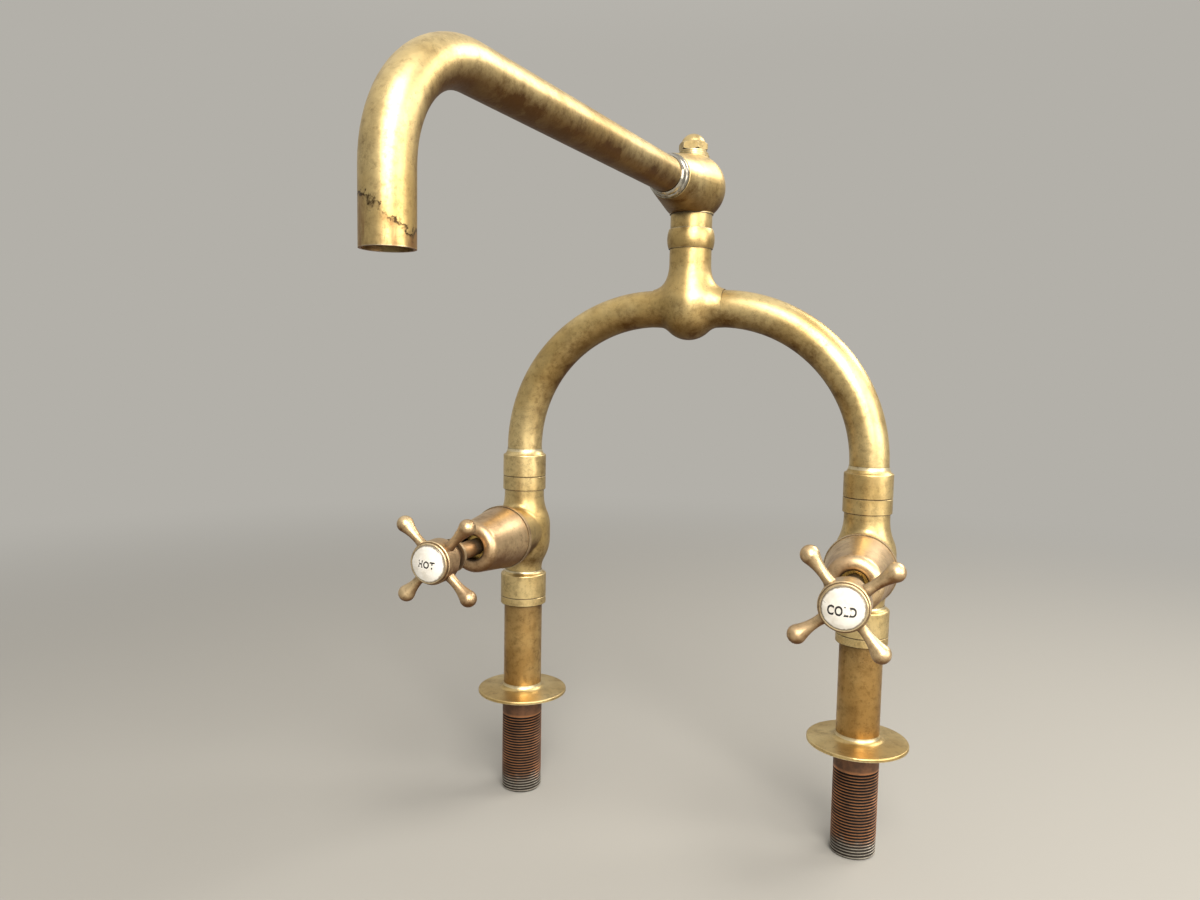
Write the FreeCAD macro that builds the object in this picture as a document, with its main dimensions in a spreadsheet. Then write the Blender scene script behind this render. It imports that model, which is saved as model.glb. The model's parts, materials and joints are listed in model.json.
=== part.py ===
"""Bridge mixer tap: two threaded legs, two compression valves with cross handles,
an arched bridge and a swivelling spout.

Millimetres. X runs along the bridge (hot leg at -X), -Y is the side of the handles and
the spout, +Z is up. The origin lies on the deck plane, midway between the two legs.
"""
import FreeCAD, Part
import math
import os

import Sketcher

# Every size that can be set by itself: name, value in mm (or degrees), meaning.
SIZES = (
    ("leg_spacing", 220.0, "between the two leg axes"),
    ("screw_gap", 0.05, "radial clearance of screwed and pushed fits"),
    ("running_gap", 0.08, "clearance of pieces that turn or slide in one another"),
    ("washer_thickness", 1.5, "flat fibre washers"),
    ("small_chamfer", 0.4, "broken edges of the rings and nuts"),
    # legs
    ("tail_radius", 13.22, "three-quarter inch pipe thread, major radius"),
    ("tail_length", 67.0, "tail below the deck"),
    ("shank_length", 14.0, "plain shank between the flange and the thread"),
    ("tail_chamfer", 1.3, "lead of the thread"),
    ("thread_pitch", 1.814, "14 threads to the inch"),
    ("thread_depth", 1.16, "of the pipe thread"),
    ("thread_crest", 0.3, "flat left on the crest"),
    ("leg_bore", 9.0, "water way of the leg, radius"),
    ("flange_radius", 29.5, "deck flange brazed on the pillar"),
    ("flange_rim", 2.0, "thickness of the flange at its rim"),
    ("flange_crown", 1.0, "rise of the flange from rim to pillar"),
    ("flange_fillet", 3.5, "between flange and pillar"),
    ("flange_edge", 0.7, "rounding of the flange's rim"),
    ("flange_seat", 0.5, "shoulder of the shank, let into the flange's underside"),
    ("pillar_radius", 12.56, "pillar"),
    ("lock_ring_level", 60.86, "underside of the lock ring above the deck"),
    ("lock_ring_height", 5.14, "lock ring under the leg nut"),
    ("leg_nut_radius", 15.03, "lock ring and leg nut"),
    ("leg_nut_height", 15.55, "leg nut"),
    ("nut_edge", 1.1, "rounded upper edge of the leg and arch nuts"),
    ("nut_feather", 0.2, "upper end of the nuts' hollow collars"),
    ("leg_nut_collar", 2.2, "hollow collar on the leg nut"),
    ("leg_engagement", 7.0, "length of the pillar inside the leg nut"),
    # valve bodies
    ("valve_level", 110.3, "valve axis above the deck"),
    ("valve_belly_radius", 17.4, "widest part of the valve body"),
    ("belly_rise", 3.0, "widest part above the valve axis"),
    ("belly_drop", 5.0, "widest part below the valve axis"),
    ("upper_root_level", 24.0, "foot of the upper neck above the valve axis"),
    ("upper_hollow_share", 0.58, "part of the upper shoulder that curves inwards"),
    ("lower_root_gap", 0.35, "from the leg nut's collar to the foot of the lower neck"),
    ("lower_hollow_share", 0.35, "part of the lower shoulder that curves inwards"),
    ("lower_neck_radius", 12.0, "neck below the ball"),
    ("lower_spigot_height", 5.2, "spigot inside the leg nut"),
    ("upper_neck_radius", 13.0, "neck above the ball"),
    ("boss_radius", 16.2, "boss that carries the headwork"),
    ("boss_fillet", 4.0, "between belly and boss"),
    ("boss_length", 30.0, "face of the boss from the leg axis"),
    ("seat_radius", 6.0, "hole in the valve seat"),
    ("seat_depth", 6.0, "seat plane from the leg axis"),
    ("chamber_back", 12.0, "rear chamber behind the leg axis"),
    ("port_radius", 6.5, "inlet and outlet ways of the valve body"),
    ("port_wall", 2.0, "metal between rear chamber and outlet way"),
    ("inlet_offset", 3.0, "inlet way behind the leg axis"),
    ("outlet_offset", 4.0, "outlet way in front of the leg axis"),
    # headworks
    ("head_thread_radius", 10.48, "half inch pipe thread of the headwork"),
    ("head_engagement", 12.0, "headwork inside the boss"),
    ("head_flats", 24.0, "hexagon of the headwork, across flats"),
    ("head_hex_height", 6.0, "hexagon of the headwork"),
    ("head_barrel_radius", 9.0, "barrel of the headwork"),
    ("head_barrel_length", 13.5, "barrel of the headwork"),
    ("gland_thread_radius", 8.0, "thread for the gland nut"),
    ("gland_thread_length", 9.0, "thread for the gland nut"),
    ("packing_radius", 6.85, "packing chamber"),
    ("packing_floor", 8.6, "depth of the packing chamber"),
    ("packing_length", 6.0, "packing"),
    ("guide_length", 1.8, "plain guide below the packing"),
    ("gland_nut_grip", 5.0, "length of thread inside the gland nut"),
    ("gland_nut_flats", 17.5, "hexagon of the gland nut, across flats"),
    ("gland_nut_height", 8.5, "hexagon of the gland nut"),
    ("gland_collar_radius", 7.6, "round collar on the gland nut"),
    ("gland_collar_height", 2.5, "round collar on the gland nut"),
    # bonnets
    ("bonnet_lip_radius", 20.05, "lip against the valve body"),
    ("bonnet_lip_height", 3.4, "lip against the valve body"),
    ("bonnet_lip_bore", 17.2, "opening of the lip"),
    ("bonnet_base_radius", 19.4, "barrel next to the lip"),
    ("bonnet_front_radius", 14.9, "barrel carried on to the front plane"),
    ("bonnet_length", 42.5, "from the boss to the front plane"),
    ("bonnet_wall", 1.4, "wall of the bonnet"),
    ("bonnet_front_wall", 2.7, "front of the bonnet"),
    ("bonnet_round", 5.0, "rounding of the shoulder"),
    ("bonnet_inner_cut", 4.6, "slope inside the shoulder"),
    ("bonnet_hole", 7.4, "hole around the spindle, radius"),
    ("bonnet_hole_round", 2.3, "rounding of the hole's edge"),
    ("bonnet_lip_round", 0.7, "rounding of the lip's edge"),
    ("bonnet_web_start", 15.0, "threaded web from the boss"),
    ("bonnet_web_height", 5.0, "threaded web"),
    # moving valve parts
    ("spindle_radius", 5.0, "plain spindle"),
    ("spindle_thread_radius", 6.0, "threaded end of the spindle"),
    ("spindle_lead", 2.54, "rise of the spindle in one turn"),
    ("spindle_turns", 2.0, "turns from closed to open"),
    ("stop_gap", 0.5, "rest of the rise before the stop"),
    ("spindle_exposed", 22.5, "spindle between bonnet and handle"),
    ("hub_socket", 6.0, "round spindle inside the hub"),
    ("drive_side", 6.4, "square drive of the spindle"),
    ("drive_length", 10.0, "square drive of the spindle"),
    ("jumper_radius", 7.8, "plate of the jumper and its washer"),
    ("seat_washer_height", 3.45, "rubber washer of the jumper"),
    ("jumper_plate", 2.8, "plate of the jumper"),
    ("jumper_stem_radius", 2.9, "stem inside the spindle"),
    ("jumper_stem_length", 13.7, "stem inside the spindle"),
    ("jumper_stud_radius", 2.0, "stud through the washer"),
    ("jumper_nut_flats", 5.5, "nut on the stud, across flats"),
    ("jumper_nut_height", 2.8, "nut on the stud"),
    # handles
    ("hot_handle_angle", 46.3, "first arm of the hot handle from +X"),
    ("cold_handle_angle", 38.0, "first arm of the cold handle from +X"),
    ("hub_collar_radius", 9.6, "collar at the back of the hub"),
    ("hub_collar_height", 1.7, "collar at the back of the hub"),
    ("hub_neck_radius", 7.1, "neck behind the cup"),
    ("hub_flare_start", 3.0, "start of the flare from the collar's face"),
    ("hub_cup_start", 12.5, "start of the cup"),
    ("hub_radius", 12.2, "cup of the hub"),
    ("hub_length", 23.6, "hub from collar to rim"),
    ("arm_level", 16.9, "arm plane from the collar's face"),
    ("arm_root_radius", 3.5, "arm where it enters the hub"),
    ("arm_start", 10.3, "start of the arm inside the hub's wall"),
    ("arm_neck_at", 16.3, "narrowest place of the arm"),
    ("arm_neck_radius", 2.6, "narrowest place of the arm"),
    ("arm_tip_at", 27.8, "centre of the arm's ball end"),
    ("arm_tip_radius", 4.75, "ball end of the arm"),
    ("screw_cavity_radius", 5.3, "room for the handle screw's head"),
    ("screw_head_radius", 4.4, "handle screw"),
    ("screw_head_height", 2.6, "handle screw"),
    ("screw_radius", 2.4, "handle screw"),
    ("screw_length", 10.5, "handle screw under its head"),
    ("screw_slot_width", 1.2, "slot of the handle screw"),
    ("screw_slot_depth", 1.1, "slot of the handle screw"),
    ("cap_thread_radius", 9.4, "index cap inside the hub"),
    ("cap_thread_length", 4.0, "index cap inside the hub"),
    ("cap_lip_radius", 11.35, "lip of the index cap"),
    ("cap_lip_height", 2.0, "lip of the index cap"),
    ("cap_recess", 1.7, "recess for the disc"),
    ("cap_hollow_radius", 7.0, "hollow under the index cap"),
    ("cap_hollow_depth", 2.6, "hollow under the index cap"),
    ("disc_radius", 10.26, "ceramic disc"),
    ("disc_edge", 2.1, "ceramic disc at its edge"),
    ("disc_dome", 2.8, "rise of the disc's face"),
    # joints between the valves and the bridge
    ("arch_ring_level", 137.7, "underside of the arch ring above the deck"),
    ("arch_ring_height", 9.0, "arch ring"),
    ("arch_nut_radius", 14.03, "arch ring and arch nut"),
    ("arch_nut_height", 14.5, "arch nut without its collar"),
    ("arch_nut_collar", 3.6, "hollow collar on the arch nut"),
    ("spigot_engagement", 3.3, "valve spigot inside the arch nut"),
    ("lip_radius", 12.6, "flared end of the bridge tube, and the valve spigot"),
    ("lip_height", 3.0, "flared end of the bridge tube"),
    # bridge
    ("arch_clear_run", 0.6, "straight tube between the arch nut and the bend"),
    ("arch_tube_radius", 11.24, "bridge tube"),
    ("arch_tube_wall", 1.4, "bridge tube"),
    ("arch_bend_radius", 90.1, "centre line of the bridge tube's bend"),
    ("tee_socket_depth", 10.0, "bridge tube inside the tee"),
    ("tee_reach", 22.0, "sleeves of the tee from its centre"),
    ("tee_sleeve_wall", 0.35, "feathered sleeves of the tee over the tube"),
    ("tee_ball_radius", 17.0, "ball of the tee"),
    ("tee_ball_drop", 2.0, "ball's centre under the tube's centre line"),
    ("tee_fillet", 7.0, "between neck and sleeves"),
    ("neck_radius", 12.7, "neck of the tee"),
    ("neck_length", 35.8, "neck of the tee above the tube's centre line"),
    ("neck_spigot_radius", 12.0, "threaded top of the neck"),
    ("neck_spigot_height", 5.7, "threaded top of the neck"),
    # swivel
    ("thrust_washer_height", 1.0, "washer that carries the swivel"),
    ("swivel_nut_height", 11.7, "swivel nut"),
    ("swivel_nut_end_radius", 13.35, "swivel nut at its two ends"),
    ("swivel_nut_bulge", 1.05, "swell of the swivel nut"),
    ("swivel_nut_wall", 2.5, "top wall of the swivel nut"),
    ("stem_radius", 9.02, "stem inside the neck"),
    ("stem_bore", 5.2, "water way of the stem, radius"),
    ("stem_length", 21.5, "stem below its flange"),
    ("stem_flange_radius", 11.7, "flange held by the swivel nut"),
    ("stem_shoulder_radius", 9.7, "stem inside the swivel nut's top wall"),
    ("band_radius", 12.6, "band between swivel nut and globe"),
    ("band_height", 8.75, "band between swivel nut and globe"),
    ("stem_spigot_radius", 10.4, "stem screwed into the globe"),
    ("stem_spigot_height", 6.0, "stem screwed into the globe"),
    ("seal_radius", 0.98, "cord radius of the stem seals"),
    ("seal_groove_width", 2.3, "grooves of the stem seals"),
    ("lower_seal_at", 5.0, "lower seal from the stem's end"),
    ("seal_spacing", 8.0, "between the two stem seals"),
    # globe and finial
    ("globe_radius", 20.0, "globe"),
    ("globe_foot", 15.8, "globe's centre above its foot"),
    ("globe_foot_radius", 13.3, "foot of the globe"),
    ("globe_foot_height", 2.6, "foot of the globe"),
    ("globe_crown", 17.4, "top face above the globe's centre"),
    ("globe_bore", 8.5, "water way of the globe, radius"),
    ("globe_ceiling", 8.3, "water way above the globe's centre"),
    ("socket_face", 35.3, "face of the spout socket from the globe's centre"),
    ("socket_face_radius", 12.95, "face of the spout socket"),
    ("socket_edge", 0.4, "rounding of the socket's outer edge"),
    ("socket_depth", 13.8, "spout socket"),
    ("socket_way_radius", 8.6, "water way behind the spout socket"),
    ("seal_pocket_radius", 11.6, "pocket of the spout seal"),
    ("seal_pocket_depth", 1.9, "pocket of the spout seal"),
    ("finial_turn_angle", 11.3, "finial turned from the spout's heading"),
    ("finial_washer_radius", 9.8, "washer under the finial"),
    ("finial_washer_height", 1.5, "washer under the finial"),
    ("finial_ring_radius", 9.2, "ring of the finial"),
    ("finial_ring_height", 1.5, "ring of the finial"),
    ("finial_neck_radius", 8.2, "neck between ring and hexagon"),
    ("finial_neck_height", 1.5, "neck between ring and hexagon"),
    ("finial_flats", 15.2, "hexagon of the finial, across flats"),
    ("finial_hex_height", 5.2, "hexagon of the finial"),
    ("finial_upper_cut", 1.4, "cut upper corners of the hexagon, at the corners"),
    ("finial_lower_cut", 0.9, "cut lower corners of the hexagon, at the corners"),
    ("finial_corner_reach", 1.0, "cutting rings beyond the hexagon's corners"),
    ("finial_dome_radius", 7.1, "foot of the finial's dome"),
    ("finial_dome_height", 5.0, "finial's dome"),
    ("finial_stud_radius", 4.4, "stud of the finial"),
    ("finial_stud_length", 8.8, "stud of the finial"),
    # spout
    ("spout_turn_angle", 6.76, "spout turned from straight ahead towards the hot leg"),
    ("spout_rise_angle", 1.03, "slope of the spout"),
    ("spout_reach", 228.25, "straight run of the spout from the globe's centre"),
    ("spout_bend_radius", 46.3, "centre line of the spout's bend"),
    ("spout_drop", 27.9, "straight outlet after the bend"),
    ("spout_radius", 10.0, "spout tube"),
    ("spout_wall", 1.1, "spout tube"),
    ("collar_radius", 12.3, "spout collar at the globe"),
    ("collar_waist_radius", 11.6, "spout collar between its two swells"),
    ("collar_waist_at", 3.3, "place of the waist from the globe's end"),
    ("collar_front_radius", 10.4, "spout collar at its front"),
    ("collar_length", 6.3, "spout collar"),
    ("collar_back_swell", 2.6, "arc radius of the swell at the globe"),
    ("collar_front_swell", 4.0, "arc radius of the swell at the front"),
)

SIDES = (("hot", -1), ("cold", 1))
HEX_SIDES = 6
ARM_COUNT = 4
FULL_TURN = 360.0
QUARTER_TURN = 90.0
NEAR = 0.01  # how near an edge has to lie to the place where it is looked for

document = FreeCAD.newDocument("bridge_tap")
sheet = document.addObject("Spreadsheet::Sheet", "sizes")
pieces = []


class Size:
    """A number worked out from the sheet, with the expression that gives it."""

    def __init__(self, value, text):
        self.value = value
        self.text = text

    def __add__(self, other):
        return joined(self, "+", other, number(self) + number(other))

    def __radd__(self, other):
        return joined(other, "+", self, number(other) + number(self))

    def __sub__(self, other):
        return joined(self, "-", other, number(self) - number(other))

    def __rsub__(self, other):
        return joined(other, "-", self, number(other) - number(self))

    def __mul__(self, other):
        return joined(self, "*", other, number(self) * number(other))

    def __rmul__(self, other):
        return joined(other, "*", self, number(other) * number(self))

    def __truediv__(self, other):
        return joined(self, "/", other, number(self) / number(other))

    def __neg__(self):
        return joined(0.0, "-", self, -self.value)


def number(size):
    """The plain value of a Size or of a number."""
    return size.value if isinstance(size, Size) else float(size)


def expression(size):
    """The expression of a Size or of a number."""
    return size.text if isinstance(size, Size) else repr(float(size))


def joined(left, sign, right, value):
    return Size(value, "(%s %s %s)" % (expression(left), sign, expression(right)))


def sine(angle):
    return Size(math.sin(math.radians(number(angle))), "sin(%s * 1 deg)" % expression(angle))


def cosine(angle):
    return Size(math.cos(math.radians(number(angle))), "cos(%s * 1 deg)" % expression(angle))


def root(size):
    return Size(math.sqrt(number(size)), "sqrt(%s)" % expression(size))


class Sheet:
    """The sheet's sizes as attributes."""


S = Sheet()


def fill_sheet():
    """Write the sizes to the sheet and make each one an attribute of S."""
    for row, (alias, value, meaning) in enumerate(SIZES, start=1):
        sheet.set("A%d" % row, meaning)
        sheet.set("B%d" % row, repr(value))
        sheet.setAlias("B%d" % row, alias)
        setattr(S, alias, Size(value, "sizes.%s" % alias))
    document.recompute()


def bind(item, name, size):
    """Set a property from a Size and keep it tied to the sheet."""
    item.setExpression(name, expression(size))


def origin_plane(body, role):
    return [part for part in body.Origin.OriginFeatures if part.Role == role][0]


def new_body(label):
    body = document.addObject("PartDesign::Body", label)
    body.Label = label
    return body


def finish(body, place, rotation=None):
    """Put a finished body in its place and list it as a piece."""
    if rotation is not None:
        body.Placement.Rotation = rotation
    for axis, size in zip("xyz", place):
        bind(body, "Placement.Base.%s" % axis, size)
    pieces.append(body)
    return body


def new_sketch(body, name, role="XZ_Plane"):
    sketch = body.newObject("Sketcher::SketchObject", "%s_%s" % (body.Label, name))
    sketch.AttachmentSupport = [(origin_plane(body, role), "")]
    sketch.MapMode = "FlatFace"
    return sketch


def arc_between(start, end, radius, turn):
    """The short arc from start to end; turn is +1 anticlockwise, -1 clockwise."""
    chord = end - start
    middle = (start + end) * 0.5
    height = math.sqrt(max(radius ** 2 - (chord.Length / 2) ** 2, 0.0))
    normal = FreeCAD.Vector(-chord.y, chord.x, 0).normalize()
    centre = middle + normal * (height * turn)
    first, last = (start, end) if turn > 0 else (end, start)
    angles = [math.atan2(point.y - centre.y, point.x - centre.x) for point in (first, last)]
    circle = Part.Circle(centre, FreeCAD.Vector(0, 0, 1), radius)
    return Part.ArcOfCircle(circle, angles[0], angles[1])


def tie_point(sketch, edge, end, across, up):
    """Hold one end of an edge at its two coordinates."""
    for kind, size, axis in (("DistanceX", across, -2), ("DistanceY", up, -1)):
        if isinstance(size, Size):
            constraint = Sketcher.Constraint(kind, -1, 1, edge, end, number(size))
            index = sketch.addConstraint(constraint)
            sketch.setExpression("Constraints[%d]" % index, expression(size))
        else:
            sketch.addConstraint(Sketcher.Constraint("PointOnObject", edge, end, axis))


def draw(sketch, corners, arcs=None, closed=True):
    """Draw lines and arcs through the corners and tie them to the sheet.

    corners are (across, up) pairs, where 0 means on the axis; arcs maps the number of a
    corner to the (radius, turn) of the arc that leaves it.
    """
    arcs = arcs or {}
    points = [FreeCAD.Vector(number(across), number(up), 0) for across, up in corners]
    count = len(points) if closed else len(points) - 1
    edges = []
    ends = []
    for index in range(count):
        start = points[index]
        end = points[(index + 1) % len(points)]
        if index in arcs:
            radius, turn = arcs[index]
            edges.append(arc_between(start, end, number(radius), turn))
            ends.append((1, 2) if turn > 0 else (2, 1))
        else:
            edges.append(Part.LineSegment(start, end))
            ends.append((1, 2))
    sketch.addGeometry(edges, False)
    for index in range(count):
        following = (index + 1) % len(edges)
        if closed or index + 1 < count:
            joint = ("Coincident", index, ends[index][1], following, ends[following][0])
            sketch.addConstraint(Sketcher.Constraint(*joint))
        tie_point(sketch, index, ends[index][0], *corners[index])
        if index in arcs:
            radius = arcs[index][0]
            arc_size = sketch.addConstraint(Sketcher.Constraint("Radius", index, number(radius)))
            sketch.setExpression("Constraints[%d]" % arc_size, expression(radius))
    if not closed:
        tie_point(sketch, count - 1, ends[-1][1], *corners[-1])
    return sketch


def turned(body, name, corners, arcs=None, cut=False):
    """Turn a closed outline (radius, height) about the body's Z axis; cut takes it away."""
    sketch = draw(new_sketch(body, name + "_outline"), corners, arcs)
    kind = "PartDesign::Groove" if cut else "PartDesign::Revolution"
    feature = body.newObject(kind, "%s_%s" % (body.Label, name))
    feature.Profile = sketch
    feature.ReferenceAxis = (sketch, ["V_Axis"])
    feature.Angle = FULL_TURN
    return feature


def block(inner, outer, low, high):
    """The four corners of a plain ring's outline."""
    return [(inner, low), (outer, low), (outer, high), (inner, high)]


def chamfered_block(inner, outer, low, high, lower_cut, upper_cut):
    """The outline of a ring whose two outer edges are cut at 45 degrees."""
    return [
        (inner, low),
        (outer - lower_cut, low),
        (outer, low + lower_cut),
        (outer, high - upper_cut),
        (outer - upper_cut, high),
        (inner, high),
    ]


def plain_ring(label, inner, outer, height, place, rotation=None):
    body = new_body(label)
    turned(body, "ring", block(inner, outer, 0, height))
    return finish(body, place, rotation)


def primitive(body, kind, name, sizes, base=(0, 0, 0), rotation=None):
    """Add or take away a PartDesign primitive, such as AdditiveSphere."""
    feature = body.newObject("PartDesign::" + kind, "%s_%s" % (body.Label, name))
    for key, size in sizes.items():
        bind(feature, key, size)
    if rotation is not None:
        feature.Placement.Rotation = rotation
    for axis, size in zip("xyz", base):
        bind(feature, "Placement.Base.%s" % axis, size)
    return feature


def cylinder(body, name, radius, height, base=(0, 0, 0), rotation=None, cut=False):
    kind = "SubtractiveCylinder" if cut else "AdditiveCylinder"
    return primitive(body, kind, name, {"Radius": radius, "Height": height}, base, rotation)


def hexagon(body, name, flats, low, high):
    """Add a hexagonal prism across the given flats, from low to high."""
    corner = flats / (2 * cosine(FULL_TURN / HEX_SIDES / 2))
    feature = primitive(body, "AdditivePrism", name, {"Circumradius": corner, "Height": high - low},
                        (0, 0, low))
    feature.Polygon = HEX_SIDES
    return feature


def round_edges(body, name, radius, chosen):
    """Round the edges of the body's tip for which chosen(edge) is true."""
    document.recompute()
    tip = body.Tip
    names = [
        "Edge%d" % (index + 1)
        for index, edge in enumerate(tip.Shape.Edges)
        if not edge.Degenerated and chosen(edge)
    ]
    if not names:
        raise ValueError("no edge to round on %s %s" % (body.Label, name))
    feature = body.newObject("PartDesign::Fillet", "%s_%s" % (body.Label, name))
    feature.Base = (tip, names)
    bind(feature, "Radius", radius)
    return feature


def circle_at(radius, height):
    """A test for circles about the Z axis with this radius at this height."""
    def chosen(edge):
        curve = edge.Curve
        return (
            isinstance(curve, Part.Circle)
            and abs(curve.Radius - number(radius)) < NEAR
            and abs(curve.Center.z - number(height)) < NEAR
            and math.hypot(curve.Center.x, curve.Center.y) < NEAR
        )
    return chosen


def about_x(degrees):
    return FreeCAD.Rotation(FreeCAD.Vector(1, 0, 0), degrees)


def about_z(degrees):
    return FreeCAD.Rotation(FreeCAD.Vector(0, 0, 1), degrees)


FORWARD = about_x(QUARTER_TURN)  # turns +Z to -Y, the direction of the valve axes


def set_levels():
    """Work out the places that several pieces share."""
    # up the legs from the deck plane
    S.half_spacing = S.leg_spacing / 2
    S.leg_nut_level = S.lock_ring_level + S.lock_ring_height
    S.leg_top = S.leg_nut_level + S.leg_engagement
    S.valve_foot = S.leg_top + S.washer_thickness
    S.arch_nut_level = S.arch_ring_level + S.arch_ring_height
    S.valve_top = S.arch_nut_level + S.spigot_engagement
    S.arch_tube_foot = S.valve_top + S.washer_thickness
    S.arch_nut_top = S.arch_nut_level + S.arch_nut_height + S.arch_nut_collar
    S.arch_level = S.arch_nut_top + S.arch_clear_run + S.arch_bend_radius
    S.tee_socket_end = S.tee_reach - S.tee_socket_depth
    # along a valve axis, from the leg axis towards the handle
    S.head_hex_start = S.boss_length + S.washer_thickness
    S.head_hex_end = S.head_hex_start + S.head_hex_height
    S.head_barrel_end = S.head_hex_end + S.head_barrel_length
    S.head_end = S.head_barrel_end + S.gland_thread_length
    S.head_start = S.boss_length - S.head_engagement
    S.packing_start = S.head_end - S.packing_floor
    S.packing_end = S.packing_start + S.packing_length
    S.guide_start = S.packing_start - S.guide_length
    S.gland_nut_start = S.head_end - S.gland_nut_grip
    S.bonnet_end = S.boss_length + S.bonnet_length
    S.hub_start = S.bonnet_end + S.spindle_exposed
    S.drive_start = S.hub_start + S.hub_socket
    S.drive_end = S.drive_start + S.drive_length
    S.hub_end = S.hub_start + S.hub_length
    S.cap_start = S.hub_end - S.cap_thread_length
    S.cap_end = S.hub_end + S.cap_lip_height
    S.disc_floor = S.cap_end - S.cap_recess
    S.spindle_lift = S.spindle_lead * S.spindle_turns
    S.spindle_thread_end = S.guide_start - S.spindle_lift - S.stop_gap
    S.jumper_washer_start = S.seat_depth + S.screw_gap
    S.jumper_plate_start = S.jumper_washer_start + S.seat_washer_height
    S.jumper_plate_end = S.jumper_plate_start + S.jumper_plate
    S.jumper_nut_start = S.jumper_washer_start - S.jumper_nut_height
    S.spindle_start = S.jumper_plate_end + S.running_gap
    # up the neck of the tee
    S.neck_top = S.arch_level + S.neck_length
    S.neck_spigot_top = S.neck_top + S.neck_spigot_height
    S.stem_flange_level = S.neck_spigot_top + S.thrust_washer_height + S.running_gap
    S.swivel_nut_top = S.neck_top + S.swivel_nut_height
    S.swivel_nut_ceiling = S.swivel_nut_top - S.swivel_nut_wall
    S.stem_flange_top = S.swivel_nut_ceiling - S.running_gap
    S.stem_foot = S.stem_flange_level - S.stem_length
    S.band_level = S.swivel_nut_top + 2 * S.running_gap
    S.globe_foot_level = S.band_level + S.band_height
    S.globe_level = S.globe_foot_level + S.globe_foot
    S.globe_top = S.globe_level + S.globe_crown
    S.finial_level = S.globe_top + S.finial_washer_height
    S.stem_top = S.globe_foot_level + S.stem_spigot_height


# The two legs and their nuts.

def build_leg(side, sign):
    """Threaded tail and pillar, turned from one bar and bored through, with its flange."""
    body = new_body(side + "_leg")
    deck = S.tail_length
    top = deck + S.leg_top
    turned(body, "bar", [
        (S.leg_bore, 0),
        (S.tail_radius - S.tail_chamfer, 0),
        (S.tail_radius, S.tail_chamfer),
        (S.tail_radius, deck + S.flange_seat),
        (S.pillar_radius, deck + S.flange_seat),
        (S.pillar_radius, top),
        (S.leg_bore, top),
    ])
    cut_thread(body, deck - S.shank_length)
    finish(body, (sign * S.half_spacing, 0, -S.tail_length))
    flange = new_body(side + "_deck_flange")
    crown = S.flange_rim + S.flange_crown
    bore = S.pillar_radius + S.screw_gap
    seat_bore = S.tail_radius + S.screw_gap
    turned(flange, "ring", [
        (seat_bore, 0),
        (S.flange_radius, 0),
        (S.flange_radius, S.flange_rim - S.flange_edge),
        (S.flange_radius - S.flange_edge, S.flange_rim),
        (bore + S.flange_fillet, crown),
        (bore, crown + S.flange_fillet),
        (bore, S.flange_seat),
        (seat_bore, S.flange_seat),
    ], {2: (S.flange_edge, 1), 4: (S.flange_fillet, -1)})
    finish(flange, (sign * S.half_spacing, 0, 0))


def cut_thread(body, top):
    """Cut the pipe thread from the tail's end up to the plain shank."""
    document.recompute()
    before = body.Shape.Volume
    root_radius = S.tail_radius - S.thread_depth
    outside = S.tail_radius + S.thread_crest
    spread = (S.thread_pitch - S.thread_crest) / 2 * (S.thread_depth + S.thread_crest) / S.thread_depth
    sketch = new_sketch(body, "thread_outline")
    draw(sketch, [(root_radius, spread), (outside, 2 * spread), (outside, 0)])
    helix = body.newObject("PartDesign::SubtractiveHelix", body.Label + "_thread")
    helix.Profile = sketch
    helix.ReferenceAxis = (sketch, ["V_Axis"])
    helix.Mode = 0
    bind(helix, "Pitch", S.thread_pitch)
    bind(helix, "Height", top - 2 * spread)
    document.recompute()
    if body.Shape.Volume >= before:
        raise ValueError("the thread of %s cuts nothing" % body.Label)


def collared_nut(body, radius, height, collar, bore, neck, ceiling):
    """Round nut: rounded upper edge, then a hollow collar that runs up to the neck."""
    wide = bore + S.screw_gap
    narrow = neck + S.screw_gap
    shoulder = radius - S.nut_edge
    run = shoulder - (narrow + S.nut_feather)
    # the arc leaves the collar's upper end along the axis
    hollow = (run * run + collar * collar) / (2 * run)
    turned(body, "nut", [
        (wide, 0),
        (radius - S.small_chamfer, 0),
        (radius, S.small_chamfer),
        (radius, height - S.nut_edge),
        (shoulder, height),
        (narrow + S.nut_feather, height + collar),
        (narrow, height + collar),
        (narrow, ceiling),
        (wide, ceiling),
    ], {3: (S.nut_edge, 1), 4: (hollow, -1)})


def build_leg_joint(side, sign):
    """Lock ring, nut and washer that join a leg to its valve body."""
    across = sign * S.half_spacing
    lock_ring = new_body(side + "_leg_lock_ring")
    turned(lock_ring, "ring", chamfered_block(
        S.pillar_radius + S.screw_gap, S.leg_nut_radius, 0, S.lock_ring_height,
        S.small_chamfer, S.small_chamfer))
    finish(lock_ring, (across, 0, S.lock_ring_level))
    nut = new_body(side + "_leg_nut")
    collared_nut(nut, S.leg_nut_radius, S.leg_nut_height, S.leg_nut_collar,
                 S.pillar_radius, S.lower_neck_radius,
                 S.valve_foot + S.lower_spigot_height - S.leg_nut_level)
    finish(nut, (across, 0, S.leg_nut_level))
    plain_ring(side + "_leg_washer", S.leg_bore, S.pillar_radius, S.washer_thickness,
               (across, 0, S.leg_top))


# Valve bodies.

def shoulder(neck, belly, height, hollow_share):
    """A double curve from a neck to a belly: both radii and where the curves meet."""
    swing = belly - neck
    reach = (height * height + swing * swing) / (2 * swing)
    hollow = reach * hollow_share
    return hollow, reach - hollow, neck + swing * hollow_share


def is_boss_root(edge):
    """Whether an edge runs round the boss where it leaves the belly."""
    reach = number(S.boss_radius)
    return all(abs(math.hypot(point.x, point.z) - reach) < NEAR
               and NEAR - number(S.boss_length) < point.y < 0
               for point in edge.discretize(9))


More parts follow.
